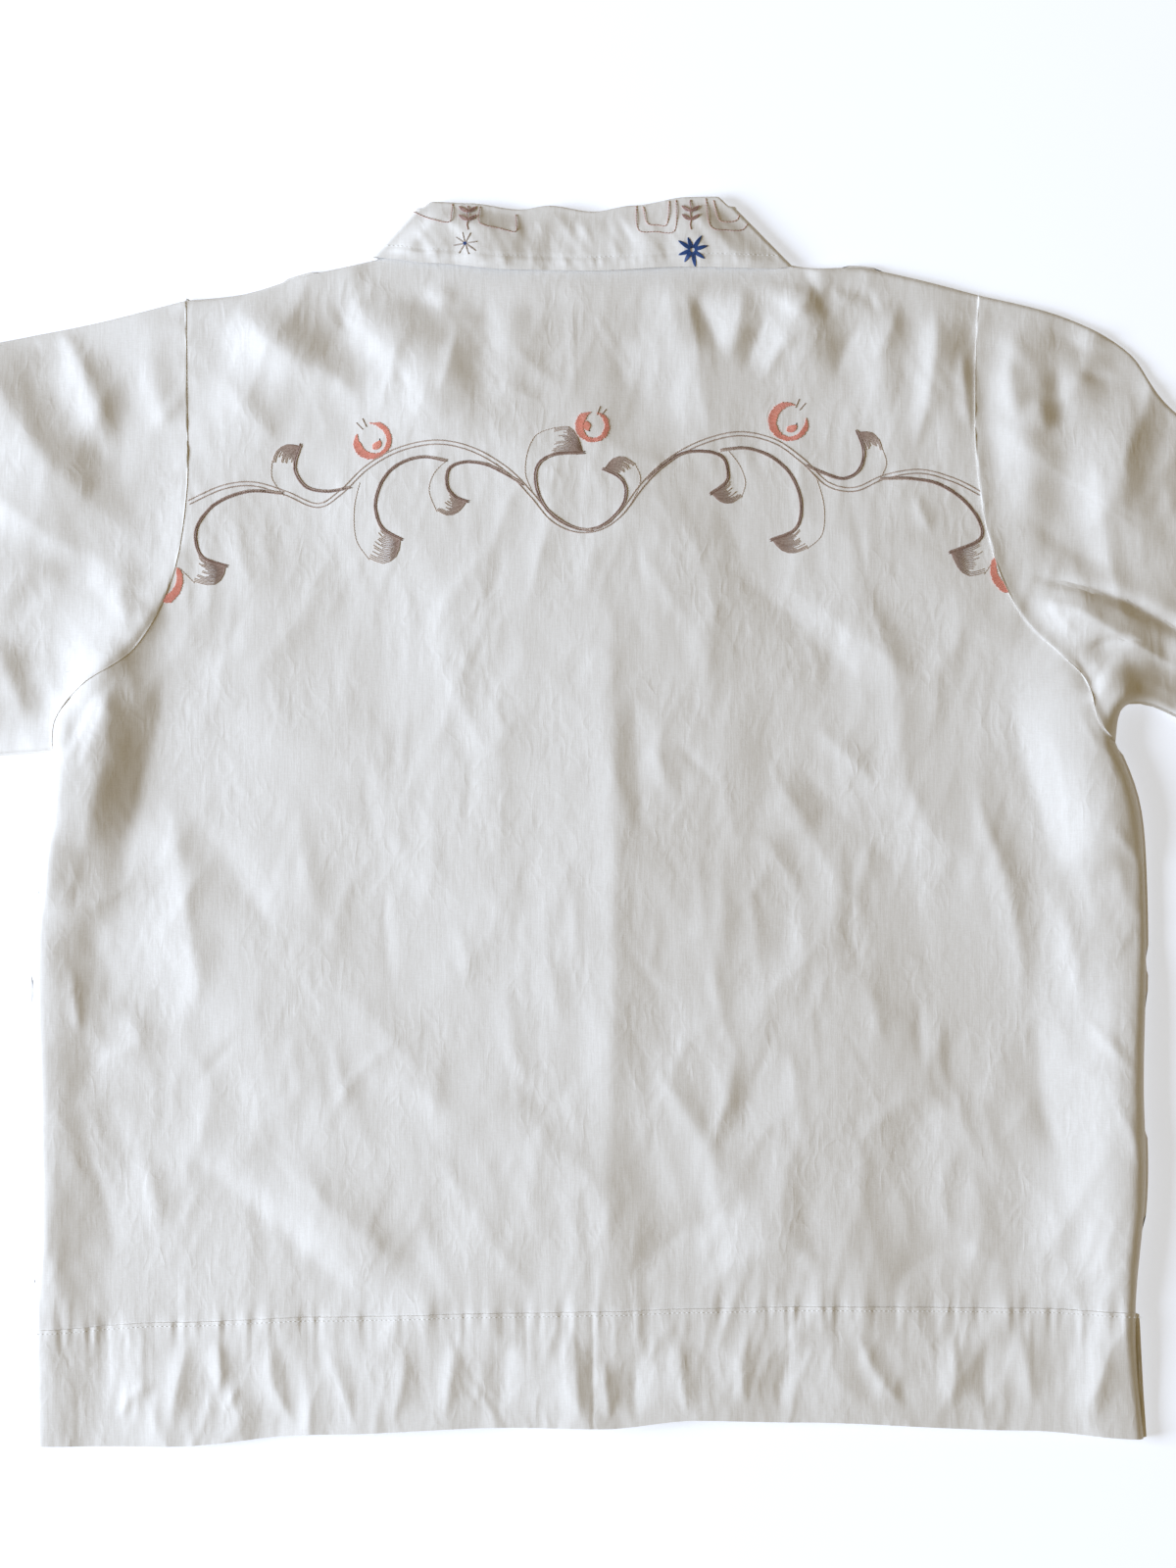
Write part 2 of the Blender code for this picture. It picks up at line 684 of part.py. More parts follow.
def button_mesh():
    """A plain button, face down: flat face, rounded rim and a shallow dish on the sewn side."""
    profile = [
        (0.0, 0.0),
        (0.0062, 0.0),
        (BUTTON_RADIUS, 0.0010),
        (0.0070, 0.0021),
        (0.0058, BUTTON_HEIGHT),
        (0.0045, 0.0020),
        (0.0, 0.0019),
    ]
    segments = 14
    shape = bmesh.new()
    rings = []
    for radius, z in profile[1:-1]:
        turns = [2 * math.pi * k / segments for k in range(segments)]
        rings.append([shape.verts.new((radius * math.cos(t), radius * math.sin(t), z)) for t in turns])
    for low, high in zip(rings, rings[1:]):
        for k in range(segments):
            n = (k + 1) % segments
            shape.faces.new((low[k], low[n], high[n], high[k]))
    for ring, z in ((rings[0], profile[0][1]), (rings[-1], profile[-1][1])):
        centre = shape.verts.new((0, 0, z))
        for k in range(segments):
            shape.faces.new((ring[k], ring[(k + 1) % segments], centre))
    bmesh.ops.recalc_face_normals(shape, faces=shape.faces)
    mesh = bpy.data.meshes.new("button")
    shape.to_mesh(mesh)
    shape.free()
    mesh.shade_smooth()
    mesh.set_sharp_from_angle(angle=math.radians(35))
    return mesh


def buttons():
    """Five buttons down the front and one on the band, each an object on one shared mesh."""
    mesh = button_mesh()
    mesh.materials.append(material("button", SHELL, 0.3))
    step = (TOP_BUTTON_Y - LOW_BUTTON_Y) / (BUTTONS_ON_FRONT - 1)
    places = [TOP_BUTTON_Y - k * step for k in range(BUTTONS_ON_FRONT)] + [BAND_BUTTON_Y]
    made = []
    for number, y in enumerate(places, start=1):
        button = bpy.data.objects.new(f"button_{number}", mesh)
        bpy.context.scene.collection.objects.link(button)
        button.location = (0.0, y, 0.0)
        made.append(button)
    return made


# ---- The garment --------------------------------------------------------------------


def centre_over_origin(pieces):
    """Parents every piece to one empty, placed so that the garment's box stands centred on the origin."""
    bpy.context.view_layer.update()
    corners = [piece.matrix_world @ Vector(corner) for piece in pieces for corner in piece.bound_box]
    middle = [0.5 * (min(c[k] for c in corners) + max(c[k] for c in corners)) for k in (0, 1)]
    garment = bpy.data.objects.new("garment", None)
    bpy.context.scene.collection.objects.link(garment)
    for piece in pieces:
        piece.parent = garment
    garment.location = (-middle[0], -middle[1], 0.0)
    print("garment placed at", garment.location)


for old in list(bpy.data.objects):
    bpy.data.objects.remove(old)
made = [
    back_panel(),
    front_panel("front_left", LEFT, 1, INNER_LAP_LIFT),
    front_panel("front_right", RIGHT, -1, OUTER_LAP_LIFT),
    sleeve("sleeve_left", LEFT, -1),
    sleeve("sleeve_right", RIGHT, 1),
    hem_band("hem_band_left", LEFT, 1, BAND_INNER_LIFT),
    hem_band("hem_band_right", RIGHT, -1, OUTER_LAP_LIFT),
    collar(),
    *buttons(),
]
centre_over_origin(made)
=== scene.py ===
"""A shirt jacket laid face down on a white table: its cloth, thread and buttons over the frame.

Sizes are metres in the garment's own plan, with X across and Y from hem to collar. The tables
of creases and embroidery are millimetres, as a maker marks them out.
"""

import json
import math
from collections import namedtuple

import bmesh
import bpy
import numpy as np
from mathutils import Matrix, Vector

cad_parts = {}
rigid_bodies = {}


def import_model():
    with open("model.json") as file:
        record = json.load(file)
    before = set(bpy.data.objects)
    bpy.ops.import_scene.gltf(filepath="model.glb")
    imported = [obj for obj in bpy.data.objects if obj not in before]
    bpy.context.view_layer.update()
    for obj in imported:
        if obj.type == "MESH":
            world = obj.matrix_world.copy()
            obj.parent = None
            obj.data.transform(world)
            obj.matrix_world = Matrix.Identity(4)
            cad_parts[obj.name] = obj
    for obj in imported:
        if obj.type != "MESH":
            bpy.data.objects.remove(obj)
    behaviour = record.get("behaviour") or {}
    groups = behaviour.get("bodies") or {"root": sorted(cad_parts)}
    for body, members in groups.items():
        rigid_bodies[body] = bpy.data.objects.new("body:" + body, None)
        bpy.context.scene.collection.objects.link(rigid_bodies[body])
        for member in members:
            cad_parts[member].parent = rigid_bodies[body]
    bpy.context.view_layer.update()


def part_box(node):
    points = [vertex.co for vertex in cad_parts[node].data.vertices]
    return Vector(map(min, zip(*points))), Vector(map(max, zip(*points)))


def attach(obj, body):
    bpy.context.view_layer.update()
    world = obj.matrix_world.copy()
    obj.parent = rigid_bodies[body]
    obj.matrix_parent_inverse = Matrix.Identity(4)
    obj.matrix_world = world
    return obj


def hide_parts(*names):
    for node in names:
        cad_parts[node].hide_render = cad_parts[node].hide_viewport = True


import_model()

# ---- Back panel ---------------------------------------------------------------------
# One wide piece of washed linen and cotton, cut with its grain from hem to neck. It lies on
# the fronts, turns down to them at the sides and shoulders, and is seamed there.

LAP = 0.015  # each front passes the centre by this much
HEM_BELOW = 0.371  # from the plan's origin down to the hem
low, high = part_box("hem_band_left")
PLACE = np.array([high.x - LAP, low.y + HEM_BELOW, 0.0])  # from the garment's plan to the frame

CLOTH = 0.0012  # one layer
SEAM = 0.0003  # gap between two pieces
LAY = 0.0034  # lowest lie of the upper layer's outer face
LOFT = 0.0016  # how far worn cloth stands off the layer under it
DEEPEST = 0.0022  # how far a trough may sink from there, short of that layer
CREST_X, CREST_HEIGHT, CREST_REACH = 0.011, 0.0048, 0.23
NECK_LIFT, NECK_TOP = 0.0018, 0.0048
ARMPIT = 0.55  # share of the panel's height up to the armpit

At = namedtuple("At", "x y")
Hem = namedtuple("Hem", "x seam edge")
Fold = namedtuple("Fold", "x0 y0 x1 y1 width height")
Laid = namedtuple("Laid", "side armhole shoulder underarm sleeve_top")

LEFT = Laid(
    side=[
        At(-0.3095, -0.371), At(-0.311, -0.302), At(-0.308, -0.253), At(-0.309, -0.165),
        At(-0.3105, -0.1), At(-0.304, -0.03), At(-0.2998, 0.0187),
    ],
    armhole=[
        At(-0.2998, 0.0187), At(-0.298, 0.037), At(-0.283, 0.0555), At(-0.253, 0.077),
        At(-0.233, 0.116), At(-0.225, 0.165), At(-0.225, 0.22), At(-0.2255, 0.271),
    ],
    shoulder=[
        At(-0.2255, 0.271), At(-0.193, 0.2745), At(-0.16, 0.2845), At(-0.132, 0.2905),
        At(-0.104, 0.2975),
    ],
    underarm=[
        At(-0.2998, 0.0187), At(-0.36, 0.0155), At(-0.5, 0.01), At(-0.65, 0.01),
        At(-0.79, 0.014),
    ],
    sleeve_top=[
        At(-0.2255, 0.271), At(-0.275, 0.2585), At(-0.33, 0.2475), At(-0.46, 0.221),
        At(-0.63, 0.184), At(-0.793, 0.154),
    ],
)
RIGHT = Laid(
    side=[
        At(0.311, -0.3665), At(0.3065, -0.296), At(0.312, -0.225), At(0.311, -0.165),
        At(0.3125, -0.08), At(0.3085, -0.015), At(0.295, 0.0235),
    ],
    armhole=[
        At(0.295, 0.0235), At(0.285, 0.035), At(0.2785, 0.058), At(0.263, 0.074),
        At(0.244, 0.093), At(0.228, 0.126), At(0.2185, 0.175), At(0.217, 0.225),
        At(0.219, 0.274),
    ],
    shoulder=[
        At(0.219, 0.274), At(0.186, 0.2825), At(0.154, 0.289), At(0.126, 0.289),
        At(0.104, 0.2925),
    ],
    underarm=[
        At(0.295, 0.0235), At(0.301, 0.044), At(0.33, 0.0385), At(0.42, -0.018),
        At(0.53, -0.1), At(0.6354, -0.1745),
    ],
    sleeve_top=[
        At(0.219, 0.274), At(0.266, 0.262), At(0.303, 0.242), At(0.332, 0.206),
        At(0.42, 0.147), At(0.565, 0.043), At(0.7086, -0.0575),
    ],
)
HEM = [
    Hem(-0.311, -0.306, -0.371), Hem(-0.235, -0.302, -0.371), Hem(-0.15, -0.299, -0.364),
    Hem(-0.045, -0.2965, -0.36), Hem(0.01, -0.2955, -0.3605), Hem(0.06, -0.294, -0.356),
    Hem(0.12, -0.293, -0.3573), Hem(0.245, -0.294, -0.362), Hem(0.311, -0.296, -0.3665),
]
NECK_BACK = [At(-0.104, 0.2975), At(0.0, 0.297), At(0.104, 0.2925)]
NECK_REACH = At(0.134, 0.113)  # how far to the sides and down the collar covers the back
# The largest folds: both ends, width and height. The solids hold most of them, some lower.
FOLDS = [
    Fold(-0.264, 0.084, -0.298, -0.035, 0.029, 0.011),
    Fold(-0.303, -0.01, -0.304, -0.37, 0.022, 0.006),
    Fold(0.27, 0.066, 0.3, -0.05, 0.033, 0.0114),
    Fold(0.301, -0.04, 0.303, -0.366, 0.034, 0.0112),
    Fold(-0.202, 0.262, -0.118, 0.218, 0.014, 0.0034),
    Fold(-0.12, 0.272, -0.074, 0.205, 0.019, 0.004),
    Fold(-0.04, 0.27, -0.046, 0.205, 0.011, 0.0014),
    Fold(0.052, 0.27, 0.066, 0.2, 0.014, 0.0021),
    Fold(0.118, 0.276, 0.124, 0.232, 0.015, 0.0034),
    Fold(0.162, 0.276, 0.17, 0.196, 0.012, 0.0024),
    Fold(0.2, 0.268, 0.203, 0.19, 0.011, 0.0027),
    Fold(-0.24, -0.06, -0.15, -0.19, 0.024, 0.0018),
    Fold(-0.215, -0.205, -0.09, -0.285, 0.018, 0.0022),
    Fold(0.08, -0.24, 0.18, -0.275, 0.022, 0.002),
    Fold(-0.7, 0.095, -0.52, 0.105, 0.02, 0.003),
    Fold(0.24, 0.236, 0.252, 0.14, 0.014, 0.0036),
    Fold(0.276, 0.214, 0.312, 0.12, 0.024, 0.0052),
    Fold(0.268, 0.112, 0.42, 0.04, 0.016, 0.0068),
    Fold(0.284, 0.06, 0.304, 0.046, 0.012, 0.0048),
    Fold(0.42, 0.105, 0.6, -0.03, 0.022, 0.004),
    Fold(0.52, -0.02, 0.64, -0.11, 0.018, 0.003),
]
# Lesser creases in millimetres: height, width on the left and on the right of the way along,
# then x and y of each point that the crest or trough runs through.
CREASES = [
    (1.9, 9, 5, -73, 255, -79, 230, -85, 217),
    (-2.2, 9, 12, -114, 293, -97, 276, -79, 262),
    (2, 14, 9, -138, 265, -119, 250, -102, 233),
    (0.5, 2.5, 2.5, -82, 261, -69, 260, -55, 258),
    (1.2, 8, 4, -125, 275, -131, 265, -134, 253),
    (1.3, 7, 5, -88, 283, -81, 275, -72, 272),
    (-1, 8, 10, -55, 275, -57, 253, -44, 235),
    (0.8, 5, 6, -44, 248, -28, 231, -11, 221),
    (0.35, 1.6, 1.6, -11, 283, -9, 248, -7, 212),
    (0.9, 7, 9, 37, 258, 38, 233, 35, 209),
    (-0.8, 7, 8, 14, 253, 18, 233, 22, 220),
    (-2.6, 8, 9, 56, 279, 66, 261, 76, 240),
    (2.2, 9, 8, 78, 235, 84, 258, 88, 282),
    (2.4, 16, 6, 114, 258, 122, 272, 125, 282),
    (-1.6, 6, 7, 86, 229, 95, 250, 102, 263),
    (1.4, 6, 5, 97, 224, 108, 244, 121, 255),
    (-1.1, 4, 4, 129, 275, 133, 267, 141, 262),
    (1.1, 4, 3, 135, 278, 142, 272, 152, 270),
    (-1, 4, 4, 147, 277, 156, 273, 163, 263),
    (-1.2, 6, 6, 154, 258, 144, 244, 138, 224),
    (1.2, 6, 5, 174, 272, 169, 253, 160, 235),
    (1.1, 5, 4, -319, 246, -297, 249, -277, 246),
    (2, 12, 8, 231, 253, 248, 235, 258, 209),
    (-1.8, 8, 8, 253, 258, 275, 246, 292, 241),
    (1.5, 5, 5, 270, 246, 286, 251, 297, 258),
    (2, 16, 9, 226, 209, 248, 186, 275, 165),
    (-1.6, 9, 9, 242, 154, 270, 132, 297, 121),
    (1.8, 9, 9, 253, 110, 280, 105, 314, 88),
    (0.61, 3, 4, -23, 212, -38, 219, -53, 222),
    (1.22, 5, 6, -129, 217, -143, 228, -155, 235),
    (1.01, 4, 5, -92, 271, -88, 275, -85, 280),
    (-1.22, 6, 8, -125, 263, -133, 261, -141, 256),
    (1.12, 4, 5, 193, 139, 186, 154, 184, 165),
    (0.56, 5, 7, -55, 132, -72, 110, -88, 77),
    (0.51, 5, 5, -148, 88, -138, 110, -125, 132),
    (0.83, 6, 9, 55, 88, 40, 116, 28, 132),
    (-1.1, 10, 14, 168, 44, 121, 88, 66, 132),
    (1.28, 12, 14, 198, 44, 154, 82, 105, 116),
    (0.39, 3, 4, 50, 0, 66, 61, 74, 132),
    (1.01, 9, 10, -193, 55, -165, 88, -143, 132),
    (-0.91, 9, 9, -212, 61, -193, 94, -182, 116),
    (-2.37, 13, 11, -173, -88, -201, -44, -227, -11),
    (1.82, 9, 11, -217, -132, -223, -82, -235, 0),
    (-0.67, 6, 6, -120, -31, -124, -8, -125, 15),
    (1.19, 9, 9, -148, -88, -158, -44, -165, 0),
    (-0.62, 4, 4, -109, -118, -113, -85, -114, -52),
    (0.67, 6, 4, -65, -113, -69, -91, -76, -73),
    (0.56, 4, 5, -158, -179, -164, -157, -166, -132),
    (0.56, 3.5, 4.5, -151, -201, -131, -165, -100, -138),
    (-0.45, 3, 3.5, -224, -175, -208, -155, -191, -138),
    (-2.19, 14, 12, -125, -290, -148, -271, -197, -229, -238, -198),
    (1.46, 9, 12, -99, -275, -143, -237, -186, -193),
    (1.51, 8, 7, -242, -253, -243, -228, -253, -204),
    (1.62, 6, 9, -277, -154, -253, -146, -260, -121),
    (1.12, 3.5, 4, -284, -143, -287, -121, -290, -99),
    (0.73, 7, 6, -26, -289, -48, -264, -66, -232),
    (-0.67, 7, 7, -6, -162, -22, -180, -43, -162),
    (0.67, 6, 7, -4, -110, -6, -77, -10, -44),
    (0.62, 5, 6, -14, -138, -19, -116, -26, -88),
    (1.1, 7, 8, -33, -242, -29, -209, -24, -187),
    (0.51, 5, 6, -94, -77, -88, -50, -86, -16),
    (0.56, 6, 7, -52, -55, -48, -11, -51, 33),
    (-0.51, 5, 6, -72, -33, -66, 0, -72, 33),
    (0.56, 5, 5, -136, -209, -136, -176, -143, -143),
    (0.51, 4, 5, -88, -198, -85, -165, -81, -138),
    (1.1, 8, 8, -72, -292, -88, -258, -94, -231),
    (-1.01, 7, 7, -265, -270, -268, -242, -275, -220),
    (2.19, 16, 14, 10, -292, 12, -209, 14, -110, 15, -33, 14, 55, 10, 132),
    (-1.28, 8, 9, 30, -33, 28, 11, 25, 55),
    (0.73, 6, 6, 45, -7, 40, 11, 33, 25),
    (-0.51, 3, 3, 75, -3, 61, 11, 47, 26),
    (1.64, 8, 9, 161, 0, 143, 18, 127, 34),
    (-1.46, 9, 8, 148, -23, 131, -4, 117, 11),
    (1.36, 8, 9, 129, -31, 117, -14, 106, 2),
    (0.67, 4, 5, 154, -62, 156, -44, 158, -28),
    (-0.73, 4.5, 4.5, 156, -110, 147, -82, 150, -61),
    (-1.06, 5.5, 6, 202, -117, 191, -102, 184, -66, 183, -14),
    (2.23, 9, 8, 243, -132, 242, -94, 234, -52, 221, -19, 215, 14),
    (1.92, 8, 8, 278, -132, 270, -88, 258, -28),
    (-2.23, 10, 11, 267, -215, 254, -176, 251, -121),
    (1.01, 3, 3.5, 312, -48, 302, -36, 290, -21),
    (1.12, 3.5, 4, 308, -165, 292, -146, 275, -127),
    (1.12, 3.5, 4, 311, -220, 304, -198, 294, -174),
    (-1.54, 12, 12, 18, -285, 48, -254, 100, -232),
    (1.54, 12, 12, 58, -286, 88, -265, 132, -254),
    (1.1, 8, 7, 67, -202, 55, -182, 41, -162),
    (0.62, 3, 4, 126, -277, 124, -267, 123, -257),
    (-1.28, 10, 10, 165, -286, 199, -260, 231, -254),
    (1.19, 9, 9, 212, -280, 220, -248, 215, -209),
    (0.51, 4, 5, 79, -110, 75, -72, 76, -28),
    (0.51, 4, 5, 64, -99, 63, -55, 59, -28),
    (0.56, 5, 6, 97, -116, 94, -88, 90, -55),
    (0.51, 4, 5, 124, -110, 118, -82, 116, -61),
    (0.56, 5, 5, 168, -148, 160, -127, 156, -105),
    (-0.51, 3.5, 4, 187, -160, 186, -132, 188, -110),
    (0.56, 6, 7, 80, -204, 76, -176, 72, -143),
    (0.56, 5, 6, 121, -209, 117, -176, 111, -138),
    (0.51, 6, 6, 33, -209, 30, -176, 28, -143),
    (1.01, 7, 8, 148, -204, 170, -182, 198, -170),
    (1.1, 8, 7, 226, -220, 212, -193, 206, -165),
    (1.12, 4, 5, -244, 198, -235, 209, -224, 221),
    (1.92, 6, 6, 240, 202, 237, 220, 235, 242),
    (1.82, 6, 5, 257, 195, 254, 206, 251, 219),
    (-1.92, 6, 6, 266, 193, 264, 215, 262, 239),
    (-1.51, 4, 4.5, 273, 232, 286, 228, 301, 226),
    (1.32, 4, 4, 295, 232, 305, 235, 315, 231),
    (1.32, 5, 6, 302, 61, 319, 55, 336, 46),
    (-1.22, 6, 6, 308, 73, 324, 64, 346, 55),
    (1.51, 8, 9, 336, 132, 324, 165, 330, 204),
    (1.92, 7, 6, -232, -363, -231, -341, -222, -308),
    (1.62, 5, 4, -207, -341, -206, -324, -208, -309),
    (1.82, 6, 6, -163, -360, -176, -336, -177, -310),
    (1.32, 6, 6, -132, -358, -140, -330, -148, -314),
    (1.62, 6, 5, -110, -359, -103, -330, -105, -309),
    (1.51, 5, 5, -81, -358, -76, -330, -74, -308),
    (-1.62, 9, 7, -51, -358, -47, -330, -44, -308),
    (2.03, 8, 6, -4, -358, -7, -330, -8, -304),
    (1.32, 5, 4, 12, -358, 10, -336, 8, -319),
    (-1.92, 9, 8, 28, -358, 26, -336, 30, -314),
    (1.62, 7, 6, 56, -355, 52, -330, 50, -304),
    (1.42, 6, 6, 89, -352, 86, -330, 90, -304),
    (-1.42, 7, 6, 107, -352, 110, -330, 117, -306),
    (1.71, 5, 6, 179, -352, 160, -328, 150, -304),
    (1.62, 7, 6, 202, -352, 205, -330, 204, -304),
    (-1.32, 6, 6, 224, -352, 222, -330, 226, -304),
    (1.92, 8, 7, 249, -350, 245, -324, 240, -302),
    (2.03, 9, 9, 284, -359, 283, -330, 280, -304),
    (1.22, 4, 4, -264, -358, -254, -341, -237, -334),
    (1.12, 3.5, 3.5, -204, -352, -198, -341, -194, -337),
    (5.6, 12, 12, -265, 182, -278, 220, -294, 256),
    (8, 38, 22, -242, 129, -275, 154, -308, 187, -341, 234, -380, 272),
    (3.6, 16, 16, -280, 124, -330, 116, -396, 110),
    (2.2, 8, 10, -248, 110, -264, 116, -283, 110),
    (1.6, 4, 6, -256, 88, -261, 103, -263, 116),
    (3.6, 12, 16, -308, 30, -322, 55, -336, 88),
    (3.6, 14, 16, -369, 44, -380, 82, -374, 132),
    (4, 16, 18, -418, 88, -435, 132, -451, 182),
    (1.3, 7, 6, -233, 191, -242, 220, -248, 250),
    (2.6, 10, 16, -284, -44, -275, -11, -270, 16, -265, 52),
    (1.3, 3, 3.5, -295, 8, -284, 26, -273, 51),
    (2, 12, 18, -248, -55, -226, -28, -209, 0),
    (-2.6, 12, 14, 272, -99, 260, -38, 245, 11, 233, 61),
    (3.8, 16, 20, -140, 220, -165, 238, -186, 256, -202, 271),
    (2, 12, 9, -170, 190, -193, 212, -208, 235),
    (2.8, 10, 7, 182, 182, 190, 215, 195, 250, 194, 272),
    (2, 5, 6, 215, 193, 211, 220, 209, 248),
    (-3.4, 13, 18, -268, -88, -255, -33, -243, 16, -238, 61),
    (3.8, 10, 24, -263, 123, -297, 136, -336, 163, -396, 182),
    (1.6, 26, 26, -72, 182, -88, 220, -94, 258),
    (4.4, 17, 9, -300, 47, -283, 59, -270, 68, -253, 84, -235, 112),
    (2.2, 5, 8, -284, 6, -275, 30, -263, 61),
    (-1.6, 5, 7, -292, 14, -283, 36, -272, 55),
    (6.6, 9, 14, 245, 103, 272, 98, 302, 80, 336, 62),
    (-5, 5, 6, 241, 119, 267, 112, 292, 106, 322, 91, 366, 67),
    (1.5, 10, 7, 296, 32, 300, 55, 298, 76),
    (-2.6, 5, 5, 284, 46, 279, 61, 272, 73),
    (-2.4, 3, 3.5, 277, 75, 293, 80, 310, 80),
    (4, 24, 15, 274, 136, 295, 162, 302, 198, 300, 231),
    (2.6, 6, 8, 275, 82, 265, 92, 258, 107),
    (5, 18, 30, -343, 94, -342, 55, -338, 15),
    (-3.2, 24, 9, -304, 13, -297, 45, -284, 65, -264, 80),
]
# The embroidered vine in millimetres: its stitches draw the cloth. A curl is a stem with a
# leaf's head, which starts at the stem's tip, and an outline back from the head's end.
Curl = namedtuple("Curl", "stem head outline")
VINE = [
    (-223, 158), (-205, 166), (-188, 168), (-170, 163), (-152, 156), (-139, 163), (-124, 177),
    (-106, 187), (-85, 191), (-65, 187), (-46, 176), (-32, 162), (-20, 148), (-7, 142),
    (6, 143), (18, 151), (31, 168), (45, 181), (63, 191), (84, 196), (104, 192),
    (120, 181), (134, 168), (149, 165), (166, 172), (186, 175), (205, 170), (219, 163),
]
CURLS = [
    Curl(
        [(-172, 163), (-190, 164), (-207, 158), (-217, 148), (-220, 138), (-216, 127)],
        [(-203, 122), (-205, 115), (-211, 111), (-221, 113)],
        [(-228, 120)],
    ),
    Curl(
        [(-134, 166), (-146, 164), (-157, 166), (-163, 173), (-164, 180)],
        [(-161, 189), (-169, 190), (-175, 186), (-177, 180)],
        [(-177, 171), (-171, 162)],
    ),
    Curl(
        [(-80, 181), (-92, 183), (-104, 180), (-113, 173), (-118, 163), (-119, 153), (-115, 143)],
        [(-105, 137), (-107, 128), (-114, 123), (-123, 126)],
        [(-130, 137), (-131, 154), (-128, 168)],
    ),
    Curl(
        [(-37, 168), (-47, 174), (-58, 179), (-70, 180), (-78, 176), (-79, 167), (-75, 161)],
        [(-68, 158), (-73, 152), (-79, 150), (-85, 153)],
        [(-89, 164), (-86, 174), (-79, 181)],
    ),
    Curl(
        [(2, 142), (-6, 143), (-15, 147), (-24, 155), (-29, 167), (-28, 178), (-19, 184)],
        [(-3, 185), (-6, 194), (-11, 200), (-19, 199)],
        [(-29, 195), (-34, 185), (-35, 173), (-31, 163)],
    ),
    Curl(
        [(0, 142), (7, 144), (14, 149), (20, 157), (21, 166), (17, 172)],
        [(9, 176), (14, 182), (20, 183), (26, 179)],
        [(29, 172), (28, 165), (24, 157)],
    ),
    Curl(
        [(34, 171), (42, 178), (53, 185), (66, 186), (75, 183), (78, 176), (77, 169)],
        [(69, 163), (74, 158), (80, 157), (86, 161)],
        [(88, 169), (85, 178), (79, 186)],
    ),
    Curl(
        [(75, 187), (88, 188), (101, 184), (112, 175), (118, 163), (119, 151), (115, 142)],
        [(103, 137), (108, 131), (115, 129), (123, 132)],
        [(131, 140), (132, 156), (128, 171)],
    ),
    Curl(
        [(123, 178), (132, 174), (142, 171), (150, 174), (154, 181), (154, 189)],
        [(151, 197), (158, 197), (163, 193), (165, 187)],
        [(167, 179), (163, 170)],
    ),
    Curl(
        [(165, 171), (180, 171), (196, 168), (210, 159), (219, 147), (219, 137)],
        [(203, 130), (207, 121), (213, 116), (222, 118)],
        [(227, 125)],
    ),
]


def linear(code):
    """An sRGB hex colour as linear RGBA."""
    parts = [int(code[k : k + 2], 16) / 255 for k in (1, 3, 5)]
    return (*[p / 12.92 if p <= 0.04045 else ((p + 0.055) / 1.055) ** 2.4 for p in parts], 1.0)


def smooth(value):
    """0 below 0, 1 above 1 and an S-curve between."""
    value = np.clip(value, 0.0, 1.0)
    return value * value * (3 - 2 * value)


def path(points, steps=24):
    """A function of 0 to 1, even in length, along a smooth curve through the points."""
    p = np.array([points[0], *points, points[-1]], float)[:, :2]
    t = (np.arange(steps) / steps)[:, None]
    line = [
        b + 0.5 * t * (c - a + t * (2 * a - 5 * b + 4 * c - d + t * (3 * b - a - 3 * c + d)))
        for a, b, c, d in zip(p, p[1:], p[2:], p[3:])
    ]
    line = np.vstack([*line, p[-1:]])
    reach = np.concatenate([[0], np.cumsum(np.hypot(*np.diff(line, axis=0).T))])

    def point(t):
        wanted = np.clip(t, 0, 1) * reach[-1]
        return np.stack([np.interp(wanted, reach, line[:, k]) for k in (0, 1)], axis=-1)

    return point


def joined(first, second, at):
    """Two paths as one: the first up to the share at, and the second after it."""

    def point(t):
        t = np.asarray(t, float)
        return np.where((t <= at)[..., None], first(t / at), second((t - at) / (1 - at)))

    return point


def along_table(table, key):
    """A function of x, smooth between the rows of a table."""
    xs = np.array([row.x for row in table])
    values = np.array([getattr(row, key) for row in table])

    def value(x):
        x = np.clip(x, xs[0], xs[-1])
        i = np.clip(np.searchsorted(xs, x), 1, len(xs) - 1)
        share = smooth((x - xs[i - 1]) / (xs[i] - xs[i - 1]))
        return values[i - 1] + share * (values[i] - values[i - 1])

    return value


hem_seam, hem_edge = along_table(HEM, "seam"), along_table(HEM, "edge")


def plan_between(bottom, top, left, right, across, up):
    """Plan points between four paths: a row for each up and a column for each across."""
    r, s = across[None, :, None], up[:, None, None]
    ruled = bottom(across)[None] * (1 - s) + top(across)[None] * s
    ruled = ruled + left(up)[:, None] * (1 - r) + right(up)[:, None] * r
    zero, one = np.zeros(()), np.ones(())
    low_row = bottom(zero) * (1 - r) + bottom(one) * r
    high_row = top(zero) * (1 - r) + top(one) * r
    return ruled - low_row * (1 - s) - high_row * s


def outline():
    """Starts and ends of the lines that the cloth turns round, with the garment on their right."""
    chains = [
        (LEFT.side, LEFT.underarm),
        (LEFT.sleeve_top[::-1], LEFT.shoulder),
        (RIGHT.underarm[::-1], RIGHT.side[::-1]),
        (RIGHT.shoulder[::-1], RIGHT.sleeve_top),
    ]
    starts, ends = [], []
    for chain in chains:
        line = np.vstack([path(part)(np.linspace(0, 1, 97)) for part in chain])
        keep = np.hypot(*(line[1:] - line[:-1]).T) > 1e-7
        starts.append(line[:-1][keep])
        ends.append(line[1:][keep])
    return np.vstack(starts), np.vstack(ends)


TURN_STARTS, TURN_ENDS = outline()


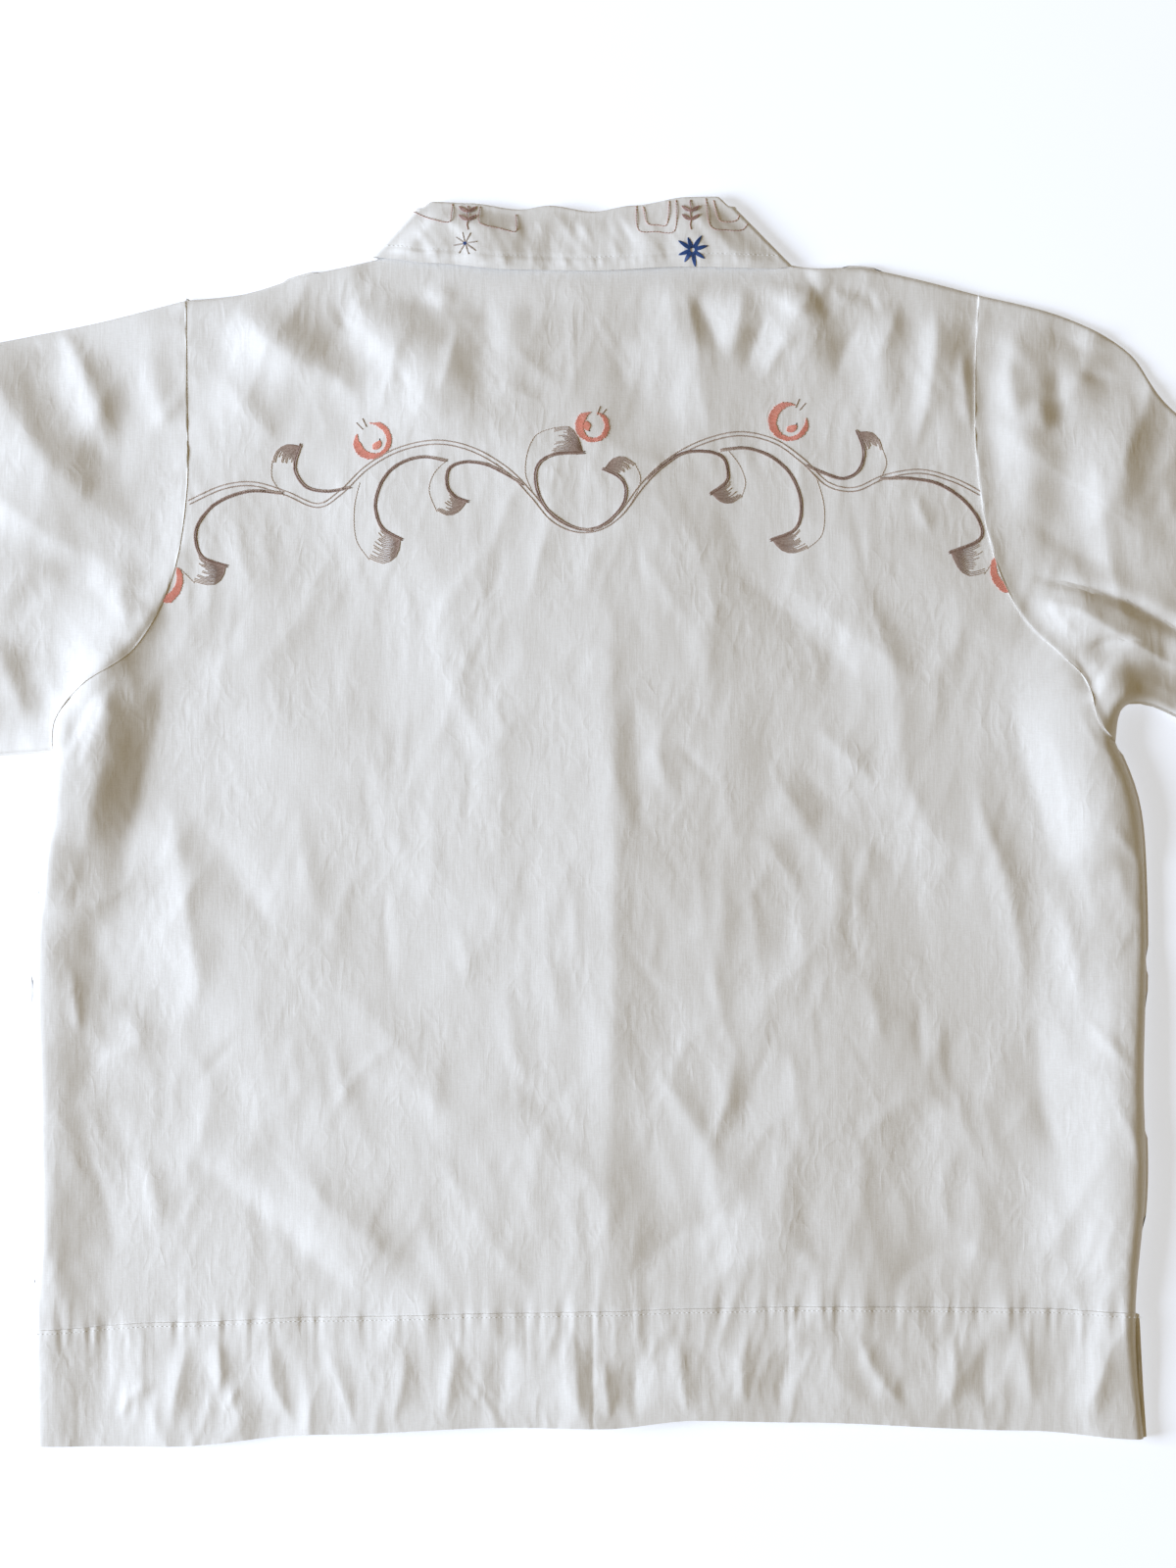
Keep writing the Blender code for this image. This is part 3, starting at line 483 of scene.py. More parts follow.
def nearest_outline(points):
    """How far the outline is from each point, the way inwards from it, and its nearest point."""
    run = TURN_ENDS - TURN_STARTS
    square = (run**2).sum(1)
    away, foot, inwards = np.empty(len(points)), np.empty_like(points), np.empty_like(points)
    for k in range(0, len(points), 2000):
        p = points[k : k + 2000, None]
        t = np.clip(((p - TURN_STARTS) * run).sum(2) / square, 0, 1)
        gap = p - TURN_STARTS - t[..., None] * run
        best = (gap**2).sum(2).argmin(1)
        chosen = np.arange(len(best)), best
        gap = gap[chosen]
        reach = np.hypot(*gap.T)
        side = np.stack([run[best, 1], -run[best, 0]], 1) / np.sqrt(square[best])[:, None]
        away[k : k + 2000], foot[k : k + 2000] = reach, points[k : k + 2000] - gap
        straight = gap / np.maximum(reach, 1e-9)[:, None]
        inwards[k : k + 2000] = np.where(reach[:, None] > 1e-6, straight, side)
    return away, inwards, foot


def close_to_outline(points, reach=0.016):
    """Which points lie so close to the outline that the cloth may be turning there."""
    some = TURN_STARTS[::3]
    found = np.zeros(len(points), bool)
    for k in range(0, len(points), 8000):
        gap = points[k : k + 8000, None] - some
        found[k : k + 8000] = (gap**2).sum(2).min(1) < reach**2
    return found


def noise(x, y, seed):
    """A smooth random value from -1 to 1, in cells of 1 by 1."""
    cells = np.random.default_rng(seed).uniform(-1, 1, (256, 256))
    i, j = np.floor(x).astype(int), np.floor(y).astype(int)
    u, v = smooth(x - i), smooth(y - j)
    i0, i1, j0, j1 = i % 256, (i + 1) % 256, j % 256, (j + 1) % 256
    low_side = cells[i0, j0] * (1 - u) + cells[i1, j0] * u
    return low_side * (1 - v) + (cells[i0, j1] * (1 - u) + cells[i1, j1] * u) * v


def rumples(x, y):
    """Crumples left by washing and wear: flat facets that meet in crisp folds, at five sizes."""
    u = x + 0.010 * noise(x / 0.060, y / 0.07, 3) + 0.0022 * noise(x / 0.019, y / 0.022, 4)
    v = y + 0.012 * noise(x / 0.06, y / 0.05, 6) + 0.002 * noise(x / 0.02, y / 0.02, 7)
    total = 0.0
    for width, length, lean, slope, crisp, seed in (
        (0.075, 0.110, 0.5, 0.058, 0.6, 21),
        (0.036, 0.060, -0.5, 0.062, 0.8, 25),
        (0.021, 0.042, 0.25, 0.050, 0.9, 22),
        (0.0115, 0.028, -0.2, 0.046, 0.9, 23),
        (0.0064, 0.020, 0.1, 0.034, 0.9, 24),
    ):
        value = noise((u + lean * v) / width, (v - lean * u) / length, seed)
        patch = noise(x / (2.2 * width), y / (2.2 * width), seed + 50)
        here = 0.35 + 0.65 * smooth(0.5 + 1.1 * patch)
        folded = crisp * (0.35 - np.sqrt(value**2 + 0.001)) + (1 - crisp) * value
        total = total + here * slope * width * folded
    at_sides = smooth((np.abs(x) - 0.245) / 0.04)
    at_hem = smooth((hem_seam(x) + 0.02 - y) / 0.03)
    return total * (0.85 + 0.45 * np.maximum(at_sides, at_hem))


def crinkles(x, y):
    """Bundles of hair-fine creases, mostly along the grain."""
    total = 0.0
    for lean, seed in ((0.10, 26), (-0.35, 27), (0.55, 29)):
        a, b = x + lean * y + 0.004 * noise(x / 0.03, y / 0.04, 9), y - lean * x
        gate = smooth((noise(a / 0.022, b / 0.060, seed + 10) - 0.25) / 0.5)
        total = total + 0.00016 * gate * noise(a / 0.0042, b / 0.040, seed)
    return total


def beside(x, y, line, reach):
    """The points near a line: their indices, distance, side (1 or -1) and share along it."""
    low_x, low_y = line.min(0) - reach
    high_x, high_y = line.max(0) + reach
    near = np.flatnonzero((x > low_x) & (x < high_x) & (y > low_y) & (y < high_y))
    if not len(near):
        return near, np.empty(0), np.empty(0), np.empty(0)
    p = np.stack([x[near], y[near]], 1)[:, None]
    run = np.diff(line, axis=0)
    raw = ((p - line[:-1]) * run).sum(2) / (run**2).sum(1)
    t = np.clip(raw, 0, 1)
    gap = p - line[:-1] - t[..., None] * run
    best = (gap**2).sum(2).argmin(1)
    rows = np.arange(len(best))
    gap, along = gap[rows, best], (best + t[rows, best]) / len(run)
    side = np.sign(run[best, 0] * gap[:, 1] - run[best, 1] * gap[:, 0])
    return near, np.hypot(*gap.T), side, along


def add_crease(total, x, y, crease):
    """Adds one soft crease over a curved line, as wide on each side as its row says."""
    height, left, right, *marks = 0.001 * np.array(crease)
    line = path(np.reshape(marks, (-1, 2)))(np.linspace(0, 1, 9))
    near, away, side, along = beside(x, y, line, 3.2 * max(left, right))
    taper = smooth(along / 0.4) * smooth((1 - along) / 0.4)
    away = away / (np.where(side > 0, left, right) * (0.35 + 0.65 * taper))
    total[near] += height * taper * np.exp(-(away**1.5))


def add_puckers(total, x, y, line, reach, pitch, height, seed):
    """Adds the short ripples that a row of stitches draws into the cloth on both sides of it."""
    near, away, side, along = beside(x, y, line, 2.4 * reach)
    length = np.hypot(*np.diff(line, axis=0).T).sum()
    ripple = noise(along * length / pitch, 4 + side * (1.2 + away / (3 * pitch)), seed)
    total[near] += height * ripple * np.exp(-((away / reach) ** 1.5))


def fold_height(x, y, fold):
    """Height of one large soft ridge over a straight line."""
    rx, ry = fold.x1 - fold.x0, fold.y1 - fold.y0
    t = np.clip(((x - fold.x0) * rx + (y - fold.y0) * ry) / (rx * rx + ry * ry), 0, 1)
    away = np.hypot(x - fold.x0 - t * rx, y - fold.y0 - t * ry)
    taper = 0.35 + 0.65 * (1 - (2 * t - 1) ** 4) ** 2
    return fold.height * taper * np.exp(-((away / fold.width) ** 2))


BAND_SEAM_X = 0.003  # the band's centre seam


def hem_puckers(x, y):
    """The hem seam draws the cloth into short puckers, longer on the band than on the body."""
    down = hem_seam(x) - y
    reach = np.where(down > 0, 0.012, 0.007)
    fine = noise(x / 0.0032 + 0.6 * noise(x / 0.02, 0 * x, 31), 0.3 + down / 0.05, 32)
    broad = noise(x / 0.013, 0.6 + down / 0.08, 33)
    faded = np.exp(-np.abs(down) / reach)
    groove = np.exp(-((down / 0.0016) ** 2))
    centre_seam = np.exp(-(((x - BAND_SEAM_X) / 0.0018) ** 2)) * smooth(down / 0.003)
    return faded * (0.00085 * fine + 0.0006 * broad) - 0.0005 * groove - 0.0003 * centre_seam


def neck_zone(x, y):
    """1 where the collar lies under or over the panels, 0 away from it."""
    down = np.minimum(0, y - NECK_BACK[0].y)
    return smooth((1.25 - np.hypot(x / NECK_REACH.x, down / NECK_REACH.y)) / 0.3)


def above(height, depth):
    """Softly stops a height from going further below zero than a depth."""
    return np.where(height < 0, -depth * np.tanh(-height / depth), height)


def upper_height(x, y):
    """Outer face of the upper layer, before it turns down at the outline."""
    sway = 0.005 * noise(y / 0.07, 0 * y, 37) - 0.085 * smooth((y - 0.135) / 0.10)
    aside = np.sqrt((x - CREST_X - sway) ** 2 + 0.004**2)
    crest = np.maximum(0, 1 - aside / CREST_REACH) ** 1.3
    free = CREST_HEIGHT * crest * smooth((0.275 - y) / 0.03)
    for fold in FOLDS:
        free = free + fold_height(x, y, fold)
    total = free + rumples(x, y) + hem_puckers(x, y) + crinkles(x, y)
    for crease in CREASES:
        add_crease(total, x, y, crease)
    for laid in (LEFT, RIGHT):
        line = path(laid.armhole)(np.linspace(0, 1, 25))
        add_puckers(total, x, y, line, reach=0.01, pitch=0.0075, height=0.00055, seed=35)
    for marks, count in [(VINE, 60), *[(curl.stem, 14) for curl in CURLS]]:
        line = path(0.001 * np.array(marks))(np.linspace(0, 1, count))
        add_puckers(total, x, y, line, reach=0.005, pitch=0.0042, height=0.00022, seed=36)
    total = LOFT + above(total, DEEPEST)
    below_collar = np.maximum(smooth((0.289 - y) / 0.018), smooth((np.abs(x) - 0.120) / 0.012))
    return LAY + (NECK_TOP - LAY) * neck_zone(x, y) + total * below_collar


def lower_height(x, y, lap=0.0):
    """Outer face of the lower layer. lap is its lift near the centre, over the buttons."""
    over_buttons = lap * smooth(1 - (np.abs(x) - 0.028) / 0.024)
    return np.maximum(NECK_LIFT * neck_zone(x, y), over_buttons)


def wall_points(plan, side, lap=0.0, cloth=CLOTH, rise=0.0, split=0.0, lift=None):
    """Outer and inner points of the cloth over plan points, turned half round at the outline.

    side is 1 for the upper layer. split is half the gap to the other layer at the turn.
    """
    flat = plan.reshape(-1, 2)
    x, y = flat.T
    level = upper_height(x, y) + rise if side > 0 else lower_height(x, y, lap)
    if lift is not None:
        level = level + lift.reshape(-1)
    outer = np.stack([x, y, level], 1)
    into = np.zeros_like(outer)
    into[:, 2] = -side
    turn = close_to_outline(flat)
    away, inwards, foot = nearest_outline(flat[turn])
    foot_top, foot_low = upper_height(*foot.T) + rise, lower_height(*foot.T)
    middle, radius = 0.5 * (foot_top + foot_low), 0.5 * (foot_top - foot_low)
    cosine = np.maximum(0, 1 - away / radius)
    sine = np.sqrt(1 - cosine**2)
    height = middle + (level[turn] - middle) * sine
    parted = np.maximum(height, middle + split) if side > 0 else np.minimum(height, middle - split)
    outer[turn, 2] = np.where(cosine > 0, parted, height)
    into[turn] = np.stack([inwards[:, 0] * cosine, inwards[:, 1] * cosine, -side * sine], 1)
    shape = (*plan.shape[:2], 3)
    return outer.reshape(shape), (outer + cloth * into).reshape(shape)


TURN_STEPS = np.array([0, 0.3, 0.9, 1.8, 3.0, 4.4, 6.5]) * 0.001  # from the outline inwards
COARSER = 4  # steps of the outer face to one of the inner


def spaced(length, step):
    """Shares along a length, closer where the cloth turns at both ends, and the coarse ones."""
    count = round((length - 2 * TURN_STEPS[-1]) / step)
    count += -count % COARSER
    middle = np.linspace(TURN_STEPS[-1], length - TURN_STEPS[-1], count + 1)
    places = np.concatenate([TURN_STEPS[:-1], middle, length - TURN_STEPS[-2::-1]])
    kept = [0, 2, 4, *range(6, 6 + count + 1, COARSER), *(len(places) - 1 - k for k in (4, 2, 0))]
    return places / length, np.array(kept)


def placed(name, data):
    """A new object in the scene."""
    made = bpy.data.objects.new(name, data)
    bpy.context.scene.collection.objects.link(made)
    return made


def quads(a, b, c, d):
    """Faces over a grid of point numbers, from the numbers at their four corners."""
    return np.stack([a, b, c, d], -1).reshape(-1, 4).tolist()


def shell(name, outer, inner, rows, columns, wrap=False):
    """A thin closed wall: a fine outer face, a coarse inner face, and rims."""
    high, wide = outer.shape[:2]
    inner = inner[np.ix_(rows, columns)]
    fine = np.arange(high * wide).reshape(high, wide)
    coarse = high * wide + np.arange(inner.shape[0] * inner.shape[1]).reshape(inner.shape[:2])
    if wrap:
        fine, coarse = np.hstack([fine, fine[:, :1]]), np.hstack([coarse, coarse[:, :1]])
        columns = np.append(columns, wide)
    faces = quads(fine[:-1, :-1], fine[:-1, 1:], fine[1:, 1:], fine[1:, :-1])
    faces += quads(coarse[:-1, 1:], coarse[:-1, :-1], coarse[1:, :-1], coarse[1:, 1:])

    def rim(step, run):
        """A face of the rim, from one step of the coarse edge to a run of the fine one."""
        faces.append([*step.tolist(), *run.tolist()])

    for k, (a, b) in enumerate(zip(columns, columns[1:])):
        rim(coarse[0, k : k + 2], fine[0, a : b + 1][::-1])
        rim(coarse[-1, k : k + 2][::-1], fine[-1, a : b + 1])
    if not wrap:
        for k, (a, b) in enumerate(zip(rows, rows[1:])):
            rim(coarse[k : k + 2, 0][::-1], fine[a : b + 1, 0])
            rim(coarse[k : k + 2, -1], fine[a : b + 1, -1][::-1])
    grain = np.vstack([outer.reshape(-1, 3), inner.reshape(-1, 3)])
    mesh = bpy.data.meshes.new(name)
    mesh.from_pydata(grain + PLACE, [], faces)
    made = mesh.attributes.new("grain", "FLOAT_VECTOR", "POINT")
    made.data.foreach_set("vector", grain.astype(np.float32).reshape(-1))
    mesh.validate()
    piece = placed(name, mesh)
    whole = bmesh.new()
    whole.from_mesh(mesh)
    if whole.calc_volume(signed=True) < 0:
        bmesh.ops.reverse_faces(whole, faces=whole.faces)
        whole.to_mesh(mesh)
    whole.free()
    mesh.shade_smooth()
    mesh.set_sharp_from_angle(angle=math.radians(55))
    return piece


MIX_FROM, MIX_TO, MIXED = 6, 7, 2  # a Mix node's colour sockets


def add(tree, kind, inputs=None, out=0, **settings):
    """Adds a node and gives its output. A socket among its inputs is linked, other values set."""
    node = tree.nodes.new(kind)
    for key, value in settings.items():
        setattr(node, key, value)
    for key, value in (inputs or {}).items():
        socket = node.inputs[key]
        if isinstance(value, bpy.types.NodeSocket):
            tree.links.new(value, socket)
        else:
            socket.default_value = value
    return node.outputs[out]


def new_finish(name, settings):
    """A new material with its shader's own sockets set, its node tree and its shader."""
    made = bpy.data.materials.new(name)
    made.use_nodes = True
    shader = made.node_tree.nodes["Principled BSDF"]
    for key, value in settings.items():
        shader.inputs[key].default_value = value
    return made, made.node_tree, shader


def washed_linen(name, pale, dark, cloudy):
    """Linen and cotton in plain weave, washed soft: matt, faintly fuzzy, with slubs and crumples.

    The threads are about 0.4 mm apart, and are drawn 0.9 mm apart so that they show.
    """
    made, tree, shader = new_finish(name, {"Roughness": 0.82, "Specular IOR Level": 0.25})
    shader.inputs["Sheen Weight"].default_value = 0.12
    shader.inputs["Sheen Roughness"].default_value = 0.45
    grain = add(tree, "ShaderNodeAttribute", out="Vector", attribute_name="grain")

    def cells(across, along, detail=2.0, lean=0.0, **settings):
        """Noise in cells of across by along, in metres of the cloth's own grain."""
        turned = {"Vector": grain, "Rotation": (0, 0, lean), "Scale": (1 / across, 1 / along, 0.0)}
        fitted = add(tree, "ShaderNodeMapping", turned)
        field = {"Vector": fitted, "Scale": 1.0, "Detail": detail, "Roughness": 0.6, **settings}
        return add(tree, "ShaderNodeTexNoise", field, noise_dimensions="2D")

    def facets(across, along, lean):
        """Small flat facets that meet in crisp lines."""
        value = cells(across, along, 1.0, lean, Roughness=0.45, Distortion=0.3)
        value = add(tree, "ShaderNodeMath", {0: value, 1: 0.5}, operation="SUBTRACT")
        return add(tree, "ShaderNodeMath", {0: value}, operation="ABSOLUTE")

    def spread(value, low, high, to_low, to_high):
        limits = {"From Min": low, "From Max": high, "To Min": to_low, "To Max": to_high}
        return add(tree, "ShaderNodeMapRange", {"Value": value, **limits})

    warp, weft, slub = cells(0.0009, 0.007), cells(0.005, 0.0009), cells(0.0016, 0.030, 3.0)
    woven = add(tree, "ShaderNodeMath", {0: warp, 1: weft}, operation="ADD")
    woven = add(tree, "ShaderNodeMath", {0: woven, 1: slub}, operation="ADD")
    threads = spread(woven, 1.1, 1.9, 0.0, 1.0)
    colour = {0: threads, MIX_FROM: linear(dark), MIX_TO: linear(pale)}
    colour = add(tree, "ShaderNodeMix", colour, MIXED, data_type="RGBA")
    clouds = spread(cells(0.06, 0.09), 0.35, 0.65, 0.0, 0.12)
    clouded = {0: clouds, MIX_FROM: colour, MIX_TO: linear(cloudy)}
    clouded = add(tree, "ShaderNodeMix", clouded, MIXED, data_type="RGBA")
    tree.links.new(clouded, shader.inputs["Base Color"])

    crumpled = {0: facets(0.016, 0.030, 0.5), 1: facets(0.008, 0.015, -0.6)}
    crumpled = add(tree, "ShaderNodeMath", crumpled, operation="ADD")
    patches = spread(cells(0.045, 0.060, 1.0), 0.40, 0.62, 0.25, 1.0)
    crumpled = {0: crumpled, 1: patches}
    crumpled = add(tree, "ShaderNodeMath", crumpled, operation="MULTIPLY")
    pressed = {"Height": crumpled, "Strength": 1.0, "Distance": -0.0004}
    pressed = add(tree, "ShaderNodeBump", pressed)
    weave = {"Height": woven, "Strength": 0.16, "Distance": 0.0003, "Normal": pressed}
    weave = add(tree, "ShaderNodeBump", weave)
    tree.links.new(weave, shader.inputs["Normal"])
    return made


WHITE_LINEN = washed_linen("washed_linen_and_cotton", "#e8e5e0", "#e1ddd7", "#d9d4cc")


def side_above_hem(laid):
    """The side from the hem seam to the armpit: the part of the outline above the band."""
    full = path(laid.side)
    t = np.linspace(0, 1, 1601)
    x, y = full(t).T
    start = t[np.argmax(y > hem_seam(x) + SEAM / 2)]
    return lambda t: full(start + (1 - start) * np.asarray(t))


def panel_edge(laid):
    """A panel's outer edge from hem to shoulder: the side seam, then the armhole."""
    return joined(side_above_hem(laid), path(laid.armhole), ARMPIT)


def seam_path(x0, x1):
    """Along the hem seam from x0 to x1, half a seam above it."""

    def point(t):
        x = x0 + (x1 - x0) * np.asarray(t)
        return np.stack([x, hem_seam(x) + SEAM / 2], -1)

    return point


def dressed(piece, node):
    """Gives a piece its cloth and body, hides the part of its node, and returns a call that only
    gives the piece back.
    """
    piece.data.materials.append(WHITE_LINEN)
    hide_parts(node)
    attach(piece, "root")
    return lambda sewn_on=(): piece


across, columns = spaced(0.600, 0.0021)
up, rows = spaced(0.590, 0.0021)
top = joined(path(NECK_BACK), path(RIGHT.shoulder[::-1]), 0.48 / 0.74)
top = joined(path(LEFT.shoulder), top, 0.26)
left_edge, right_edge = panel_edge(LEFT), panel_edge(RIGHT)
bottom = seam_path(left_edge(np.zeros(()))[0], right_edge(np.zeros(()))[0])
plan = plan_between(bottom, top, left_edge, right_edge, across, up)
outer, inner = wall_points(plan, 1, split=SEAM)
back = shell("back_panel_cloth", outer, inner, rows, columns)
declare_back = dressed(back, "back_panel")

# ---- Embroidered vine ---------------------------------------------------------------
# A scrolling vine across the back in stranded cotton, worked by hand: stem stitch for the
# stalks, long and short stitch for the curled leaves, and satin stitch for the round fruit.

Fruit = namedtuple("Fruit", "x y radius start sweep heavy swirl")
FRUITS = [
    Fruit(-120.5, 192.5, 9.0, -200, 300, 215, -40),
    Fruit(2.8, 200.0, 7.6, -262, 335, 160, 190),
    Fruit(112.8, 203.0, 9.4, 72, 300, 165, -60),
    Fruit(-241.8, 115.0, 13.0, -74, 102, -60, None),
    Fruit(240.1, 121.0, 13.0, 150, 108, 240, None),
]
THREAD = 0.00030  # radius of one laid thread


def new_tree(name, inputs, output):
    """An empty tree with its interface, its input sockets and the curve through its first input."""
    tree = bpy.data.node_groups.new(name, "GeometryNodeTree")
    for label, kind in inputs.items():
        tree.interface.new_socket(name=label, in_out="INPUT", socket_type="NodeSocket" + kind)
    tree.interface.new_socket(name=output, in_out="OUTPUT", socket_type="NodeSocketGeometry")
    given = tree.nodes.new("NodeGroupInput").outputs
    curve = add(tree, "GeometryNodeMeshToCurve", {"Mesh": given["Runs"]})
    return tree, given, curve


def end_tree(tree, made, finish):
    """Realises what a tree has made, smooths it and gives it its material."""
    whole = add(tree, "GeometryNodeRealizeInstances", {"Geometry": made})
    whole = add(tree, "GeometryNodeSetShadeSmooth", {"Geometry": whole})
    whole = {"Geometry": whole, "Material": finish}
    whole = add(tree, "GeometryNodeSetMaterial", whole)
    tree.links.new(whole, tree.nodes.new("NodeGroupOutput").inputs[0])
    return tree


def thread_tree():
    """Laid threads: every run of edges becomes a thin tube."""
    inputs = {"Runs": "Geometry", "Radius": "Float", "Finish": "Material"}
    tree, given, curve = new_tree("laid_threads", inputs, "Threads")
    ring = {"Resolution": 5, "Radius": given["Radius"]}
    ring = add(tree, "GeometryNodeCurvePrimitiveCircle", ring, mode="RADIUS")
    tube = {"Curve": curve, "Profile Curve": ring, "Fill Caps": True}
    tube = add(tree, "GeometryNodeCurveToMesh", tube)
    return end_tree(tree, tube, given["Finish"])


def stitch_tree():
    """Stitches along runs: one long grain of thread at every pitch, leaning across the run."""
    inputs = {"Runs": "Geometry", "Pitch": "Float", "Length": "Float", "Width": "Float"}
    inputs |= {"Lean": "Float", "Seed": "Int", "Finish": "Material"}
    tree, given, curve = new_tree("stitches", inputs, "Stitches")
    places = {"Curve": curve, "Length": given["Pitch"]}
    places = add(tree, "GeometryNodeResampleCurve", places, mode="LENGTH")
    grain = {"Segments": 6, "Rings": 5, "Radius": 0.5}
    grain = add(tree, "GeometryNodeMeshUVSphere", grain)
    size = {"X": given["Length"], "Y": given["Width"], "Z": given["Width"]}
    size = add(tree, "ShaderNodeCombineXYZ", size)
    grain = {"Geometry": grain, "Scale": size}
    grain = add(tree, "GeometryNodeTransform", grain)
    ahead = {"Vector": add(tree, "GeometryNodeInputTangent")}
    ahead = add(tree, "FunctionNodeAlignRotationToVector", ahead, axis="X")
    wander = {"Seed": given["Seed"], "Min": (0.0, 0.0, -0.09), "Max": (0.0, 0.0, 0.09)}
    wander = add(tree, "FunctionNodeRandomValue", wander, data_type="FLOAT_VECTOR")
    lean = add(tree, "ShaderNodeCombineXYZ", {"Z": given["Lean"]})
    lean = {0: lean, 1: wander}
    lean = add(tree, "ShaderNodeVectorMath", lean, operation="ADD")
    turned = {"Rotation": ahead, "Rotate By": lean}
    turned = add(tree, "FunctionNodeRotateRotation", turned, rotation_space="LOCAL")
    laid = {"Points": places, "Instance": grain, "Rotation": turned}
    laid = add(tree, "GeometryNodeInstanceOnPoints", laid)
    return end_tree(tree, laid, given["Finish"])


LAID_THREADS, STITCHES = thread_tree(), stitch_tree()


def worked(name, tree, face, lift, runs, shades, **sizes):
    """A plain mesh piece that a tree makes of thread, along runs on a face, riding the garment."""
    plan = np.vstack(runs)
    points = np.column_stack([plan, face(*plan.T) + lift]) + PLACE
    edges, first = [], 0
    for run in runs:
        edges += [(first + k, first + k + 1) for k in range(len(run) - 1)]
        first += len(run)
    shade = np.concatenate([np.broadcast_to(s, len(r)) for r, s in zip(runs, shades)])
    mesh = bpy.data.meshes.new(name)
    mesh.from_pydata(points, edges, [])
    mesh.attributes.new("shade", "FLOAT", "POINT").data.foreach_set("value", shade)
    marked = placed(name + "_runs", mesh)
    modifier = marked.modifiers.new("work", "NODES")
    modifier.node_group = tree
    for item in tree.interface.items_tree:
        if item.in_out == "INPUT" and item.name in sizes:
            modifier[item.identifier] = sizes[item.name]
    graph = bpy.context.evaluated_depsgraph_get()
    plain = bpy.data.meshes.new_from_object(marked.evaluated_get(graph))
    bpy.data.objects.remove(marked)
    piece = placed(name, plain)
    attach(piece, "root")
    return piece


Stitch = namedtuple("Stitch", "Pitch Length Width Lean")  # named as the tree's sockets


def stitched(name, face, lift, runs, shades, stitch, seed, finish):
    """Stitches of one kind along runs, each run in its own shade."""
    sizes = {**stitch._asdict(), "Seed": seed, "Finish": finish}
    return worked(name, STITCHES, face, lift, runs, shades, **sizes)


def threaded(name, face, lift, threads, finish):
    """Laid threads, each a run of plan points with its shade."""
    runs, shades = zip(*threads)
    return worked(name, LAID_THREADS, face, lift, runs, shades, Radius=THREAD, Finish=finish)


def stranded_cotton(name, dark, light):
    """Stranded embroidery cotton: mercerised, so it has a soft gloss along each thread."""
    made, tree, shader = new_finish(name, {"Roughness": 0.5, "Sheen Weight": 0.1})
    shade = add(tree, "ShaderNodeAttribute", out="Fac", attribute_name="shade")
    place = add(tree, "ShaderNodeTexCoord", out="Object")
    fleck = {"Vector": place, "Scale": 900.0, "Detail": 1.0}
    fleck = add(tree, "ShaderNodeTexNoise", fleck)
    fleck = add(tree, "ShaderNodeMath", {0: fleck, 1: -0.5}, operation="ADD")
    mixed = {0: fleck, 1: 0.5, 2: shade}
    mixed = add(tree, "ShaderNodeMath", mixed, operation="MULTIPLY_ADD")
    colour = {0: mixed, MIX_FROM: linear(dark), MIX_TO: linear(light)}
    colour = add(tree, "ShaderNodeMix", colour, MIXED, data_type="RGBA")
    tree.links.new(colour, shader.inputs["Base Color"])
    return made


BROWN = stranded_cotton("brown_stranded_cotton", "#83675a", "#cfbfb0")
CORAL = stranded_cotton("coral_stranded_cotton", "#d97f69", "#eaa794")


def heading(angle):
    """The unit vector at an angle."""
    return np.array([math.cos(angle), math.sin(angle)])


def drawn(points, gap=0.0008, aside=0.0):
    """A smooth run in metres through marks in millimetres, moved aside to the right."""
    line = path(0.001 * np.array(points))
    length = np.hypot(*np.diff(line(np.linspace(0, 1, 60)), axis=0).T).sum()
    run = line(np.linspace(0, 1, max(3, round(length / gap))))
    if aside:
        ahead = np.gradient(run, axis=0)
        ahead /= np.hypot(*ahead.T)[:, None]
        run = run + aside * np.column_stack([ahead[:, 1], -ahead[:, 0]])
    return run


def leaf_threads(curl, chance, count=19):
    """Long and short stitches from a leaf's tip, some of them stopping short of its far side."""
    inside = path(0.001 * np.array([curl.head[0], curl.stem[-1], curl.stem[-2]]))
    outside = path(0.001 * np.array(curl.head))
    found = []
    for k in range(count):
        share = (k + 0.5) / count
        start = chance.uniform(0.0, 0.10)
        stop = chance.uniform(0.62, 1.0) if 0.1 < share < 0.85 else 1.0
        t = np.linspace(start, stop, 7)
        plan = inside(t * (0.75 - 0.15 * share)) * (1 - share) + outside(t) * share
        shade = np.clip(0.12 + 0.75 * t**1.5 + chance.uniform(-0.12, 0.12), 0, 1)
        found.append((plan, shade))
    return found


chance = np.random.default_rng(7)
runs = [drawn(VINE, aside=side) for side in (-0.0011, 0.0011)]
vine_stitch = Stitch(0.0014, 0.0026, 0.00075, 0.16)
vine_lines = stitched(
    "embroidery_vine_lines", upper_height, 0.00008, runs, [0.6, 0.5], vine_stitch, 1, BROWN
)
runs = [drawn([curl.head[-1], *curl.outline]) for curl in CURLS]
shades = [0.7] * len(runs)
outline_stitch = Stitch(0.0016, 0.002, 0.0005, 0.12)
outlines = stitched(
    "embroidery_leaf_outlines", upper_height, 0.00005, runs, shades, outline_stitch, 2, BROWN
)
runs, shades = [], []
for curl in CURLS:
    for aside, shade in ((-0.0005, 0.0), (0.0004, 0.25)):
        runs.append(drawn([*curl.stem, curl.head[0]], aside=aside))
        shades.append(np.clip(shade + 0.35 * np.exp(-np.linspace(0, 6, len(runs[-1]))), 0, 1))
stem_stitch = Stitch(0.0014, 0.0036, 0.0009, 0.17)
stems = stitched(
    "embroidery_curled_stems", upper_height, 0.00012, runs, shades, stem_stitch, 3, BROWN
)
threads = [thread for curl in CURLS for thread in leaf_threads(curl, chance)]
leaves = threaded("embroidery_leaves", upper_height, 0.00012, threads, BROWN)


